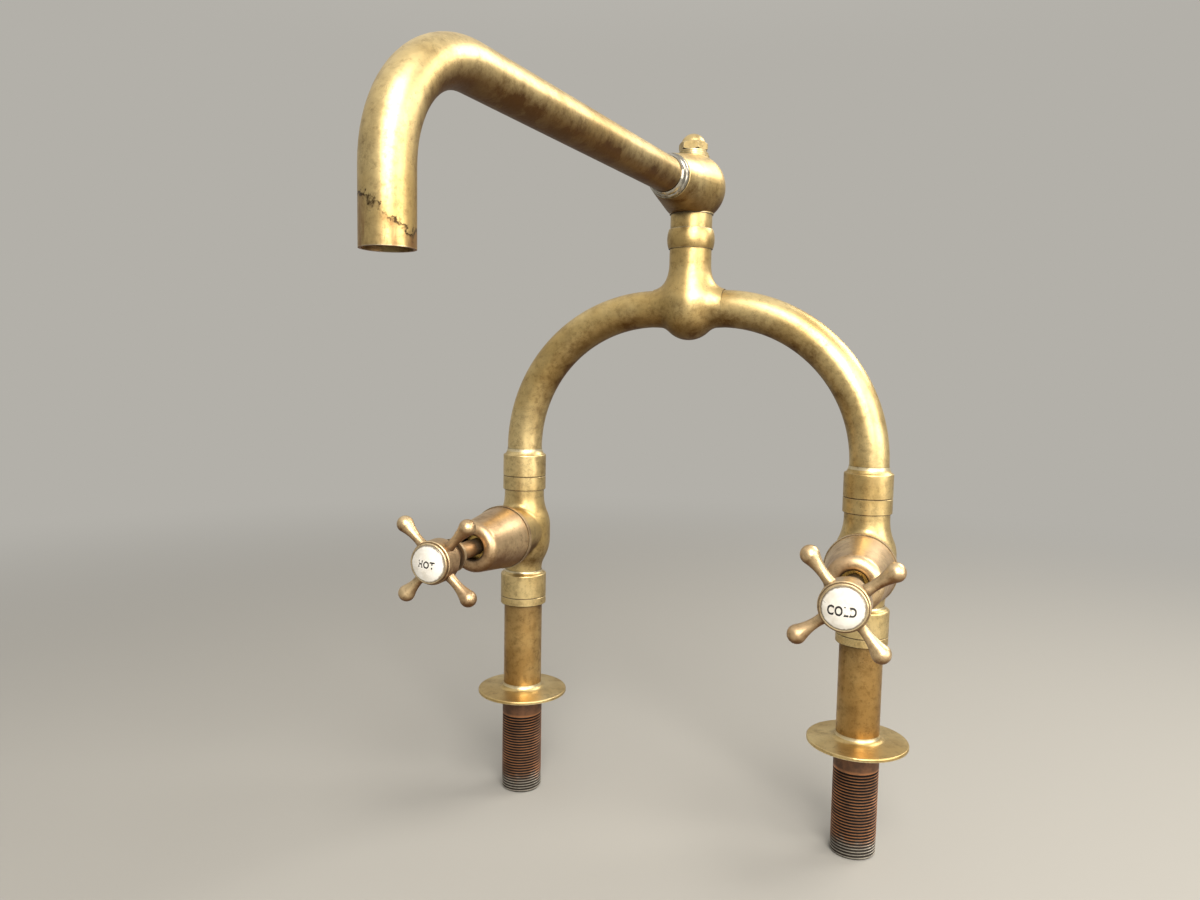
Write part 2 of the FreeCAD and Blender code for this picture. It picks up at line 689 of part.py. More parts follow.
def build_valve_body(side, sign):
    """Belly with two necks and a forward boss; the ways meet at a seat across the belly."""
    body = new_body(side + "_valve_body")
    foot = S.valve_foot - S.valve_level
    neck_top = S.arch_ring_level - S.valve_level
    top = S.valve_top - S.valve_level
    lower_root = (S.leg_nut_level + S.leg_nut_height + S.leg_nut_collar + S.lower_root_gap
                  - S.valve_level)
    upper_height = S.upper_root_level - S.belly_rise
    lower_height = -S.belly_drop - lower_root
    upper_hollow, upper_swell, upper_meet = shoulder(
        S.upper_neck_radius, S.valve_belly_radius, upper_height, S.upper_hollow_share)
    lower_hollow, lower_swell, lower_meet = shoulder(
        S.lower_neck_radius, S.valve_belly_radius, lower_height, S.lower_hollow_share)
    turned(body, "belly", [
        (0, foot),
        (S.lower_neck_radius, foot),
        (S.lower_neck_radius, lower_root),
        (lower_meet, lower_root + lower_height * S.lower_hollow_share),
        (S.valve_belly_radius, -S.belly_drop),
        (S.valve_belly_radius, S.belly_rise),
        (upper_meet, S.upper_root_level - upper_height * S.upper_hollow_share),
        (S.upper_neck_radius, S.upper_root_level),
        (S.upper_neck_radius, neck_top),
        (0, neck_top),
    ], {2: (lower_hollow, -1), 3: (lower_swell, 1), 5: (upper_swell, 1), 6: (upper_hollow, -1)})
    cylinder(body, "lower_spigot", S.pillar_radius, S.lower_spigot_height, (0, 0, foot))
    cylinder(body, "upper_spigot", S.lip_radius, top, (0, 0, 0))
    cylinder(body, "boss", S.boss_radius, S.boss_length, rotation=FORWARD)
    round_edges(body, "boss_root", S.boss_fillet, is_boss_root)
    cylinder(body, "seat_way", S.seat_radius, S.chamber_back + S.seat_depth,
             (0, S.chamber_back, 0), FORWARD, cut=True)
    cylinder(body, "head_bore", S.head_thread_radius + S.screw_gap, S.boss_length - S.seat_depth,
             (0, -S.seat_depth, 0), FORWARD, cut=True)
    cylinder(body, "inlet_way", S.port_radius, -foot, (0, S.inlet_offset, foot), cut=True)
    outlet = S.seat_radius + S.port_wall
    cylinder(body, "outlet_way", S.port_radius, top - outlet, (0, -S.outlet_offset, outlet), cut=True)
    return finish(body, (sign * S.half_spacing, 0, S.valve_level))


# Headworks and bonnets: built along Z from the leg axis, then turned forward.

def on_valve_axis(sign, start=0):
    """The place of a piece that starts at this distance along a valve axis."""
    return (sign * S.half_spacing, -start, S.valve_level)


def build_headwork(side, sign):
    """Screwed into the boss: spindle thread below, packing chamber above."""
    place = on_valve_axis(sign)
    head = new_body(side + "_headwork")
    turned(head, "barrel", [
        (0, S.head_start),
        (S.head_thread_radius, S.head_start),
        (S.head_thread_radius, S.head_hex_start),
        (S.head_barrel_radius, S.head_hex_start),
        (S.head_barrel_radius, S.head_barrel_end),
        (S.gland_thread_radius, S.head_barrel_end),
        (S.gland_thread_radius, S.head_end),
        (0, S.head_end),
    ])
    hexagon(head, "hexagon", S.head_flats, S.head_hex_start, S.head_hex_end)
    thread_bore = S.spindle_thread_radius + S.running_gap
    guide_bore = S.spindle_radius + S.running_gap
    turned(head, "bore", [
        (0, S.head_start),
        (thread_bore, S.head_start),
        (thread_bore, S.guide_start),
        (guide_bore, S.guide_start),
        (guide_bore, S.packing_start),
        (S.packing_radius, S.packing_start),
        (S.packing_radius, S.head_end),
        (0, S.head_end),
    ], cut=True)
    finish(head, place, FORWARD)
    plain_ring(side + "_headwork_washer", S.head_thread_radius + S.screw_gap, S.head_flats / 2,
               S.washer_thickness, on_valve_axis(sign, S.boss_length), FORWARD)
    plain_ring(side + "_gland_packing", guide_bore, S.packing_radius, S.packing_length,
               on_valve_axis(sign, S.packing_start), FORWARD)
    build_gland_nut(side, place, guide_bore)


def build_gland_nut(side, place, guide_bore):
    """Hexagonal cap nut whose nose presses the packing down."""
    nut = new_body(side + "_gland_nut")
    hex_end = S.gland_nut_start + S.gland_nut_height
    nut_end = hex_end + S.gland_collar_height
    hexagon(nut, "hexagon", S.gland_nut_flats, S.gland_nut_start, hex_end)
    turned(nut, "collar", block(0, S.gland_collar_radius, hex_end - S.gland_collar_height, nut_end))
    thread_bore = S.gland_thread_radius + S.screw_gap
    ceiling = S.head_end + S.screw_gap
    nose = S.packing_radius - S.screw_gap
    turned(nut, "bore", [
        (0, S.gland_nut_start),
        (thread_bore, S.gland_nut_start),
        (thread_bore, ceiling),
        (nose, ceiling),
        (nose, S.packing_end),
        (guide_bore, S.packing_end),
        (guide_bore, nut_end),
        (0, nut_end),
    ], cut=True)
    finish(nut, place, FORWARD)


def build_bonnet(side, sign):
    """Thin tapered cover over the headwork, screwed on by an inner web."""
    body = new_body(side + "_bonnet")
    length = S.bonnet_length
    slope = (S.bonnet_base_radius - S.bonnet_front_radius) / (length - S.bonnet_lip_height)
    web_end = S.bonnet_web_start + S.bonnet_web_height
    web_bore = S.head_barrel_radius + S.screw_gap

    def inside(level):
        """Inner radius of the tapered wall at this level."""
        return S.bonnet_base_radius - S.bonnet_wall - slope * (level - S.bonnet_lip_height)

    back = length - S.bonnet_front_wall
    turned(body, "shell", [
        (S.bonnet_lip_bore, 0),
        (S.bonnet_lip_radius, 0),
        (S.bonnet_lip_radius, S.bonnet_lip_height),
        (S.bonnet_base_radius, S.bonnet_lip_height),
        (S.bonnet_front_radius, length),
        (S.bonnet_hole, length),
        (S.bonnet_hole, back),
        (inside(back) - S.bonnet_inner_cut + S.bonnet_wall, back),
        (inside(back - S.bonnet_inner_cut), back - S.bonnet_inner_cut),
        (inside(web_end), web_end),
        (web_bore, web_end),
        (web_bore, S.bonnet_web_start),
        (inside(S.bonnet_web_start), S.bonnet_web_start),
        (inside(S.bonnet_lip_height), S.bonnet_lip_height),
    ])
    round_edges(body, "shoulder", S.bonnet_round, circle_at(S.bonnet_front_radius, length))
    round_edges(body, "hole_edge", S.bonnet_hole_round, circle_at(S.bonnet_hole, length))
    round_edges(body, "lip_edge", S.bonnet_lip_round, circle_at(S.bonnet_lip_radius, 0))
    finish(body, on_valve_axis(sign, S.boss_length), FORWARD)


# What moves in a valve: the jumper slides, the spindle and the handle turn.

def build_jumper(side, sign):
    """Loose valve plate with its stem in the spindle, its rubber washer and its nut."""
    start = S.jumper_nut_start - S.small_chamfer
    plate_start = S.jumper_plate_start - start
    plate_end = S.jumper_plate_end - start
    body = new_body(side + "_jumper")
    turned(body, "plate", [
        (0, 0),
        (S.jumper_stud_radius, 0),
        (S.jumper_stud_radius, plate_start),
        (S.jumper_radius, plate_start),
        (S.jumper_radius, plate_end),
        (S.jumper_stem_radius, plate_end),
        (S.jumper_stem_radius, plate_end + S.jumper_stem_length),
        (0, plate_end + S.jumper_stem_length),
    ])
    finish(body, on_valve_axis(sign, start), FORWARD)
    bore = S.jumper_stud_radius + S.screw_gap
    plain_ring(side + "_seat_washer", bore, S.jumper_radius, S.seat_washer_height,
               on_valve_axis(sign, S.jumper_washer_start), FORWARD)
    nut = new_body(side + "_jumper_nut")
    hexagon(nut, "hexagon", S.jumper_nut_flats, 0, S.jumper_nut_height)
    cylinder(nut, "bore", bore, S.jumper_nut_height, cut=True)
    finish(nut, on_valve_axis(sign, S.jumper_nut_start), FORWARD)


def handle_rotation(angle):
    """Turn about the valve axis, then lay the axis forward."""
    return FORWARD.multiply(about_z(number(angle)))


def build_spindle(side, sign, angle):
    """Threaded inner end with a socket for the jumper, plain shaft, square drive."""
    body = new_body(side + "_spindle")
    thread_end = S.spindle_thread_end - S.spindle_start
    drive_start = S.drive_start - S.spindle_start
    drive_end = S.drive_end - S.spindle_start
    turned(body, "shaft", [
        (0, 0),
        (S.spindle_thread_radius, 0),
        (S.spindle_thread_radius, thread_end),
        (S.spindle_radius, thread_end),
        (S.spindle_radius, drive_start),
        (0, drive_start),
    ])
    drive = {"Length": S.drive_side, "Width": S.drive_side, "Height": drive_end - drive_start}
    primitive(body, "AdditiveBox", "drive", drive, (-S.drive_side / 2, -S.drive_side / 2, drive_start))
    cylinder(body, "jumper_socket", S.jumper_stem_radius + S.running_gap,
             S.jumper_stem_length + S.stop_gap, cut=True)
    screw_depth = S.screw_length + S.stop_gap
    cylinder(body, "screw_hole", S.screw_radius + S.screw_gap, screw_depth,
             (0, 0, drive_end - screw_depth), cut=True)
    finish(body, on_valve_axis(sign, S.spindle_start), handle_rotation(angle))


def build_handle(side, sign, angle):
    """Cross handle: a cup-shaped hub with four ball-ended arms."""
    body = new_body(side + "_handle")
    drive_start = S.hub_socket
    drive_end = drive_start + S.drive_length
    cap_floor = S.hub_length - S.cap_thread_length
    turned(body, "hub", [
        (0, 0),
        (S.hub_collar_radius, 0),
        (S.hub_collar_radius, S.hub_collar_height),
        (S.hub_neck_radius, S.hub_collar_height),
        (S.hub_neck_radius, S.hub_flare_start),
        (S.hub_radius, S.hub_cup_start),
        (S.hub_radius, S.hub_length - S.small_chamfer),
        (S.hub_radius - S.small_chamfer, S.hub_length),
        (0, S.hub_length),
    ])
    turned(body, "cap_recess", [
        (0, drive_end),
        (S.screw_cavity_radius, drive_end),
        (S.screw_cavity_radius, cap_floor),
        (S.cap_thread_radius + S.screw_gap, cap_floor),
        (S.cap_thread_radius + S.screw_gap, S.hub_length),
        (0, S.hub_length),
    ], cut=True)
    cylinder(body, "shaft_socket", S.spindle_radius + S.screw_gap, drive_start, cut=True)
    width = S.drive_side + 2 * S.screw_gap
    square = {"Length": width, "Width": width, "Height": S.drive_length}
    primitive(body, "SubtractiveBox", "drive_hole", square, (-width / 2, -width / 2, drive_start))
    build_arms(body)
    finish(body, on_valve_axis(sign, S.hub_start), handle_rotation(angle))


def build_arms(body):
    """One arm turned about its own axis, then repeated round the hub."""
    sketch = new_sketch(body, "arm_outline")
    bind(sketch, "AttachmentOffset.Base.y", S.arm_level)
    run = S.arm_tip_at - S.arm_neck_at
    rise = S.arm_tip_radius - S.arm_neck_radius
    hollow = (run * run + S.arm_neck_radius * S.arm_neck_radius
              - S.arm_tip_radius * S.arm_tip_radius) / (2 * rise)
    reach = hollow + S.arm_tip_radius
    meet = (S.arm_tip_at - S.arm_tip_radius * run / reach,
            S.arm_tip_radius * (S.arm_neck_radius + hollow) / reach)
    root_run = S.arm_neck_at - S.arm_start
    root_rise = S.arm_root_radius - S.arm_neck_radius
    flare = (root_run * root_run + root_rise * root_rise) / (2 * root_rise)
    draw(sketch, [
        (S.arm_start, 0),
        (S.arm_start, S.arm_root_radius),
        (S.arm_neck_at, S.arm_neck_radius),
        meet,
        (S.arm_tip_at + S.arm_tip_radius, 0),
    ], {1: (flare, 1), 2: (hollow, 1), 3: (S.arm_tip_radius, -1)})
    arm = body.newObject("PartDesign::Revolution", body.Label + "_arm")
    arm.Profile = sketch
    arm.ReferenceAxis = (sketch, ["H_Axis"])
    arm.Angle = FULL_TURN
    pattern = body.newObject("PartDesign::PolarPattern", body.Label + "_arms")
    pattern.Originals = [arm]
    pattern.Axis = (origin_plane(body, "Z_Axis"), [""])
    pattern.Angle = FULL_TURN
    pattern.Occurrences = ARM_COUNT
    body.Tip = pattern


def build_index(side, sign, angle):
    """Handle screw, index cap and the ceramic disc that closes the hub."""
    rotation = handle_rotation(angle)
    screw = new_body(side + "_handle_screw")
    turned(screw, "screw", [
        (0, 0),
        (S.screw_radius, 0),
        (S.screw_radius, S.screw_length),
        (S.screw_head_radius, S.screw_length),
        (S.screw_head_radius, S.screw_length + S.screw_head_height),
        (0, S.screw_length + S.screw_head_height),
    ])
    slot = {"Length": 2 * S.screw_head_radius, "Width": S.screw_slot_width,
            "Height": S.screw_slot_depth}
    primitive(screw, "SubtractiveBox", "slot", slot, (
        -S.screw_head_radius, -S.screw_slot_width / 2,
        S.screw_length + S.screw_head_height - S.screw_slot_depth))
    finish(screw, on_valve_axis(sign, S.drive_end - S.screw_length), rotation)
    cap = new_body(side + "_index_cap")
    lip_start = S.cap_thread_length
    cap_top = lip_start + S.cap_lip_height
    recess = cap_top - S.cap_recess
    turned(cap, "cap", [
        (S.cap_hollow_radius, 0),
        (S.cap_thread_radius, 0),
        (S.cap_thread_radius, lip_start),
        (S.cap_lip_radius, lip_start),
        (S.cap_lip_radius, cap_top - S.small_chamfer),
        (S.cap_lip_radius - S.small_chamfer, cap_top),
        (S.disc_radius + S.screw_gap, cap_top),
        (S.disc_radius + S.screw_gap, recess),
        (0, recess),
        (0, S.cap_hollow_depth),
        (S.cap_hollow_radius, S.cap_hollow_depth),
    ])
    finish(cap, on_valve_axis(sign, S.cap_start), rotation)
    disc = new_body(side + "_index_disc")
    dome_top = S.disc_edge + S.disc_dome
    dome_radius = ((S.disc_radius - S.small_chamfer) * (S.disc_radius - S.small_chamfer)
                   + S.disc_dome * S.disc_dome) / (2 * S.disc_dome)
    turned(disc, "disc", [
        (0, 0),
        (S.disc_radius, 0),
        (S.disc_radius, S.disc_edge - S.small_chamfer),
        (S.disc_radius - S.small_chamfer, S.disc_edge),
        (0, dome_top),
    ], {3: (dome_radius, 1)})
    finish(disc, on_valve_axis(sign, S.disc_floor), rotation)


# The bridge.

def bent_tube(body, radius, wall, first_run, bend_radius, turn, last_run):
    """A tube up Z, round a bend of turn degrees towards +X, and straight on."""
    bend_end = (bend_radius * (1 - cosine(turn)), first_run + bend_radius * sine(turn))
    tube_end = (bend_end[0] + last_run * sine(turn), bend_end[1] + last_run * cosine(turn))
    path = new_sketch(body, "path")
    draw(path, [(0, 0), (0, first_run), bend_end, tube_end], {1: (bend_radius, -1)}, closed=False)
    section = new_sketch(body, "section", "XY_Plane")
    for index, size in enumerate((radius, radius - wall)):
        section.addGeometry(Part.Circle(FreeCAD.Vector(), FreeCAD.Vector(0, 0, 1), number(size)), False)
        section.addConstraint(Sketcher.Constraint("Coincident", index, 3, -1, 1))
        across = section.addConstraint(Sketcher.Constraint("Radius", index, number(size)))
        section.setExpression("Constraints[%d]" % across, expression(size))
    tube = body.newObject("PartDesign::AdditivePipe", body.Label + "_tube")
    tube.Profile = section
    tube.Spine = (path, [])
    return tube


def build_arch_joint(side, sign):
    """Ring, nut and washer that hold the bridge tube to the valve body."""
    across = sign * S.half_spacing
    ring = new_body(side + "_arch_ring")
    turned(ring, "ring", chamfered_block(
        S.lip_radius + S.screw_gap, S.arch_nut_radius, 0, S.arch_ring_height,
        S.small_chamfer, S.small_chamfer))
    finish(ring, (across, 0, S.arch_ring_level))
    plain_ring(side + "_arch_washer", S.arch_tube_radius - S.arch_tube_wall, S.lip_radius,
               S.washer_thickness, (across, 0, S.valve_top))
    nut = new_body(side + "_arch_nut")
    collared_nut(nut, S.arch_nut_radius, S.arch_nut_height, S.arch_nut_collar,
                 S.lip_radius, S.arch_tube_radius,
                 S.arch_tube_foot + S.lip_height - S.arch_nut_level)
    finish(nut, (across, 0, S.arch_nut_level))


def build_arch_tube(side, sign):
    """Bridge tube: flared foot, upright run, a quarter bend and the run into the tee."""
    body = new_body(side + "_arch_tube")
    upright = S.arch_level - S.arch_bend_radius - S.arch_tube_foot
    level_run = S.half_spacing - S.arch_bend_radius - S.tee_socket_end
    bent_tube(body, S.arch_tube_radius, S.arch_tube_wall, upright, S.arch_bend_radius,
              QUARTER_TURN, level_run)
    turned(body, "lip", block(S.arch_tube_radius - S.arch_tube_wall, S.lip_radius, 0, S.lip_height))
    heading = about_z(0 if sign < 0 else FULL_TURN / 2)
    finish(body, (sign * S.half_spacing, 0, S.arch_tube_foot), heading)


def build_tee():
    """Ball with two sleeves for the bridge tubes and a neck for the swivel."""
    body = new_body("bridge_tee")
    sideways = FreeCAD.Rotation(FreeCAD.Vector(0, 1, 0), QUARTER_TURN)
    sleeve_radius = S.arch_tube_radius + S.tee_sleeve_wall
    primitive(body, "AdditiveSphere", "ball", {"Radius": S.tee_ball_radius}, (0, 0, -S.tee_ball_drop))
    cylinder(body, "sleeves", sleeve_radius, 2 * S.tee_reach, (-S.tee_reach, 0, 0), sideways)
    cylinder(body, "neck", S.neck_radius, S.neck_length)

    def is_neck_seam(edge):
        """Where the neck meets the sleeves and the ball."""
        box = edge.BoundBox
        return (not isinstance(edge.Curve, Part.Line)
                and box.ZMin > 0 and box.ZMax < number(S.neck_length) / 2
                and abs(box.Center.x) < number(S.neck_radius) + NEAR)

    round_edges(body, "neck_root", S.tee_fillet, is_neck_seam)
    bore = S.stem_radius + S.running_gap
    cylinder(body, "neck_spigot", S.neck_spigot_radius, S.neck_spigot_height, (0, 0, S.neck_length))
    cylinder(body, "swivel_bore", bore, S.neck_length + S.neck_spigot_height, cut=True)
    cylinder(body, "tube_bore", S.arch_tube_radius + S.screw_gap, 2 * S.tee_reach,
             (-S.tee_reach, 0, 0), sideways, cut=True)
    return finish(body, (0, 0, S.arch_level))


# The swivel.

def build_swivel():
    """Thrust washer, nut, stem and seals between the tee's neck and the globe."""
    plain_ring("swivel_thrust_washer", S.stem_radius + S.running_gap, S.stem_flange_radius,
               S.thrust_washer_height, (0, 0, S.neck_spigot_top))
    nut = new_body("swivel_nut")
    half = S.swivel_nut_height / 2
    swell = (half * half + S.swivel_nut_bulge * S.swivel_nut_bulge) / (2 * S.swivel_nut_bulge)
    ceiling = S.swivel_nut_height - S.swivel_nut_wall
    hole = S.stem_shoulder_radius + S.running_gap
    turned(nut, "nut", [
        (S.neck_spigot_radius + S.screw_gap, 0),
        (S.swivel_nut_end_radius, 0),
        (S.swivel_nut_end_radius, S.swivel_nut_height),
        (hole, S.swivel_nut_height),
        (hole, ceiling),
        (S.neck_spigot_radius + S.screw_gap, ceiling),
    ], {1: (swell, 1)})
    finish(nut, (0, 0, S.neck_top))
    build_stem()


def build_stem():
    """Swivel stem: sealed shaft, trapped flange, visible band and screwed spigot."""
    body = new_body("swivel_stem")
    flange = S.stem_flange_level - S.stem_foot
    flange_top = S.stem_flange_top - S.stem_foot
    band = S.band_level - S.stem_foot
    band_top = S.globe_foot_level - S.stem_foot
    top = S.stem_top - S.stem_foot
    turned(body, "stem", [
        (S.stem_bore, 0),
        (S.stem_radius, 0),
        (S.stem_radius, flange),
        (S.stem_flange_radius, flange),
        (S.stem_flange_radius, flange_top),
        (S.stem_shoulder_radius, flange_top),
        (S.stem_shoulder_radius, band),
        (S.band_radius, band),
        (S.band_radius, band_top),
        (S.stem_spigot_radius, band_top),
        (S.stem_spigot_radius, top),
        (S.stem_bore, top),
    ])
    seal_centre = S.stem_radius - S.seal_radius
    groove_floor = seal_centre - S.seal_radius - S.screw_gap
    for name, level in (("lower", S.lower_seal_at), ("upper", S.lower_seal_at + S.seal_spacing)):
        half = S.seal_groove_width / 2
        turned(body, name + "_groove",
               block(groove_floor, S.stem_radius + S.running_gap, level - half, level + half), cut=True)
        seal = new_body("swivel_%s_seal" % name)
        primitive(seal, "AdditiveTorus", "ring", {"Radius1": seal_centre, "Radius2": S.seal_radius})
        finish(seal, (0, 0, S.stem_foot + level))
    finish(body, (0, 0, S.stem_foot))


# Globe, finial and spout.

def spout_heading():
    """Turn about Z by the spout's rest angle."""
    return about_z(-number(S.spout_turn_angle))


def spout_direction():
    """Lay +Z along the rising spout, then turn it to its rest angle."""
    return spout_heading().multiply(about_x(QUARTER_TURN - number(S.spout_rise_angle)))


def on_spout_axis(distance):
    """The place at this distance from the globe's centre along the spout."""
    level_part = distance * cosine(S.spout_rise_angle)
    return (-level_part * sine(S.spout_turn_angle), -level_part * cosine(S.spout_turn_angle),
            S.globe_level + distance * sine(S.spout_rise_angle))


def build_globe():
    """Ball with a tapered boss, tangent to it, that takes the spout."""
    body = new_body("spout_globe")
    outward = about_x(QUARTER_TURN - number(S.spout_rise_angle))
    primitive(body, "AdditiveSphere", "ball", {"Radius": S.globe_radius})
    span = root(S.socket_face * S.socket_face + S.socket_face_radius * S.socket_face_radius)
    sine_sum = S.globe_radius / span
    cosine_sum = root(1 - sine_sum * sine_sum)
    # the taper's angle is the difference of two angles, so its sine and cosine follow
    taper_sine = sine_sum * (S.socket_face / span) - cosine_sum * (S.socket_face_radius / span)
    taper_cosine = cosine_sum * (S.socket_face / span) + sine_sum * (S.socket_face_radius / span)
    start = S.globe_radius * taper_sine
    cone = {"Radius1": S.globe_radius * taper_cosine, "Radius2": S.socket_face_radius,
            "Height": S.socket_face - start}
    primitive(body, "AdditiveCone", "boss", cone, (
        0, -start * cosine(S.spout_rise_angle), start * sine(S.spout_rise_angle)), outward)

    def is_socket_edge(edge):
        """The outer edge of the socket's face."""
        return (isinstance(edge.Curve, Part.Circle)
                and abs(edge.Curve.Radius - number(S.socket_face_radius)) < NEAR)

    cylinder(body, "foot", S.globe_foot_radius, S.globe_foot_height, (0, 0, -S.globe_foot))
    trim_globe(body, "under", -2 * S.globe_radius, -S.globe_foot)
    trim_globe(body, "crown", S.globe_crown, 2 * S.globe_radius)
    round_edges(body, "socket_edge", S.socket_edge, is_socket_edge)
    depth = S.globe_foot + S.globe_ceiling
    cylinder(body, "water_way", S.globe_bore, depth, (0, 0, -S.globe_foot), cut=True)
    cylinder(body, "stem_thread", S.stem_spigot_radius + S.screw_gap, S.stem_spigot_height,
             (0, 0, -S.globe_foot), cut=True)
    cylinder(body, "finial_thread", S.finial_stud_radius + S.screw_gap, S.globe_crown, cut=True)
    cylinder(body, "spout_way", S.socket_way_radius, S.socket_face, rotation=outward, cut=True)
    along = (
        ("spout_socket", S.spout_radius + S.screw_gap, S.socket_depth),
        ("seal_pocket", S.seal_pocket_radius, S.seal_pocket_depth),
    )
    for name, radius, deep in along:
        mouth = S.socket_face - deep
        base = (0, -mouth * cosine(S.spout_rise_angle), mouth * sine(S.spout_rise_angle))
        cylinder(body, name, radius, deep, base, outward, cut=True)
    finish(body, (0, 0, S.globe_level), spout_heading())


def trim_globe(body, name, low, high):
    """Take away all of the globe between two levels."""
    cylinder(body, name, 2 * S.globe_radius, high - low, (0, 0, low), cut=True)


def build_finial():
    """Cap nut with a ring, a neck, a hexagon with cut corners and a dome."""
    heading = about_z(number(S.finial_turn_angle) - number(S.spout_turn_angle))
    plain_ring("finial_washer", S.finial_stud_radius + S.screw_gap, S.finial_washer_radius,
               S.finial_washer_height, (0, 0, S.globe_top), heading)
    body = new_body("finial_nut")
    ring_start = S.finial_stud_length
    neck_start = ring_start + S.finial_ring_height
    hex_start = neck_start + S.finial_neck_height
    hex_end = hex_start + S.finial_hex_height
    dome = (S.finial_dome_radius * S.finial_dome_radius
            + S.finial_dome_height * S.finial_dome_height) / (2 * S.finial_dome_height)
    turned(body, "core", [
        (0, 0),
        (S.finial_stud_radius, 0),
        (S.finial_stud_radius, ring_start),
        (S.finial_ring_radius, ring_start),
        (S.finial_ring_radius, neck_start),
        (S.finial_neck_radius, neck_start),
        (S.finial_neck_radius, hex_start),
        (S.finial_dome_radius, hex_start),
        (S.finial_dome_radius, hex_end),
        (0, hex_end + S.finial_dome_height),
    ], {8: (dome, 1)})
    hexagon(body, "hexagon", S.finial_flats, hex_start, hex_end)
    flat = S.finial_flats / 2
    corner = flat / cosine(FULL_TURN / HEX_SIDES / 2)
    outside = corner + S.finial_corner_reach
    widening = (outside - S.finial_dome_radius) / (corner - S.finial_dome_radius)
    turned(body, "upper_corners", [
        (S.finial_dome_radius, hex_end),
        (outside, hex_end),
        (outside, hex_end - S.finial_upper_cut * widening),
    ], cut=True)
    widening = (outside - flat) / (corner - flat)
    turned(body, "lower_corners", [
        (flat, hex_start),
        (outside, hex_start + S.finial_lower_cut * widening),
        (outside, hex_start),
    ], cut=True)
    finish(body, (0, 0, S.finial_level - S.finial_stud_length), heading)


def build_spout():
    """Seal, collar and the bent tube, whose outlet points straight down."""
    seal_height = S.seal_pocket_depth - S.screw_gap
    plain_ring("spout_seal", S.spout_radius + S.screw_gap, S.seal_pocket_radius - S.screw_gap,
               seal_height, on_spout_axis(S.socket_face - S.seal_pocket_depth), spout_direction())
    collar = new_body("spout_collar")
    turned(collar, "collar", [
        (S.spout_radius + S.screw_gap, 0),
        (S.collar_radius, 0),
        (S.collar_waist_radius, S.collar_waist_at),
        (S.collar_front_radius, S.collar_length),
        (S.spout_radius + S.screw_gap, S.collar_length),
    ], {1: (S.collar_back_swell, 1), 2: (S.collar_front_swell, 1)})
    finish(collar, on_spout_axis(S.socket_face), spout_direction())
    tube = new_body("spout_tube")
    start = S.socket_face - S.socket_depth + S.running_gap
    bent_tube(tube, S.spout_radius, S.spout_wall, S.spout_reach - start, S.spout_bend_radius,
              QUARTER_TURN + S.spout_rise_angle, S.spout_drop)
    # the bend leaves local X, so X is turned down
    down = about_z(-QUARTER_TURN)
    finish(tube, on_spout_axis(start), spout_direction().multiply(down))


def check_and_write():
    """Stop on any failed object or shape, then write one file for each piece."""
    document.recompute()
    for item in document.Objects:
        if "Invalid" in item.State or "Error" in item.State:
            raise ValueError("%s failed: %s" % (item.Label, item.State))
    os.makedirs("parts", exist_ok=True)
    for piece in pieces:
        if piece.Shape.isNull() or not piece.Shape.isValid():
            raise ValueError("%s has no valid shape" % piece.Label)
        piece.Shape.exportStep("parts/%s.step" % piece.Label)
        print("%-24s %d solid %10.1f mm3" % (piece.Label, len(piece.Shape.Solids), piece.Shape.Volume))
    print(len(pieces), "pieces")


fill_sheet()
set_levels()
for side_name, side_sign in SIDES:
    handle_angle = getattr(S, side_name + "_handle_angle")
    build_leg(side_name, side_sign)
    build_leg_joint(side_name, side_sign)
    build_valve_body(side_name, side_sign)
    build_headwork(side_name, side_sign)
    build_bonnet(side_name, side_sign)
    build_jumper(side_name, side_sign)
    build_spindle(side_name, side_sign, handle_angle)
    build_handle(side_name, side_sign, handle_angle)
    build_index(side_name, side_sign, handle_angle)
    build_arch_joint(side_name, side_sign)
    build_arch_tube(side_name, side_sign)
build_tee()
build_swivel()
build_globe()
build_finial()
build_spout()
check_and_write()
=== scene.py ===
"""Bridge mixer tap in old unlacquered brass, with ceramic index discs.

Metres, in the frame of the solids: X along the bridge, -Y towards handles and spout, +Z up.
"""

import json
import math

import bmesh
import bpy
import numpy as np
from mathutils import Matrix, Vector


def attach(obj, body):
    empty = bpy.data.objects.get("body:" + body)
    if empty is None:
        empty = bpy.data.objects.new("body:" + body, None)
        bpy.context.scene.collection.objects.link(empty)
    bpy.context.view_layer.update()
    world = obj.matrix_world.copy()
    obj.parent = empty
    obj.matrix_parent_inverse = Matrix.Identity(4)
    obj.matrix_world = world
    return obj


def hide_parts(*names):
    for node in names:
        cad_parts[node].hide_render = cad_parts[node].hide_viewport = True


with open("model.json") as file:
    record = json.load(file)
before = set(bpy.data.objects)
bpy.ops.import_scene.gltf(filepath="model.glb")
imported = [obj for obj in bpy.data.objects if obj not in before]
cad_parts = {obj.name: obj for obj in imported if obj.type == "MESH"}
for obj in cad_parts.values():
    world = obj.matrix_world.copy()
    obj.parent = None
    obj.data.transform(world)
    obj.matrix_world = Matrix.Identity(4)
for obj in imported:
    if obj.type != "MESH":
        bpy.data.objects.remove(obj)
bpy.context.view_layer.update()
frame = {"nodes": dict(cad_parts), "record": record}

MM = 0.001

# Places of the tap that the looks depend on.
LEG_X = 110.0 * MM
VALVE_LEVEL = 110.3 * MM
DISC_APEX_Y = -123.8 * MM
DISC_DOME_RADIUS = 18.76 * MM
TAIL_END = -67.0 * MM
OUTLET_X = -32.4 * MM
OUTLET_END = 257.6 * MM
ARCH_LEVEL = 255.5 * MM

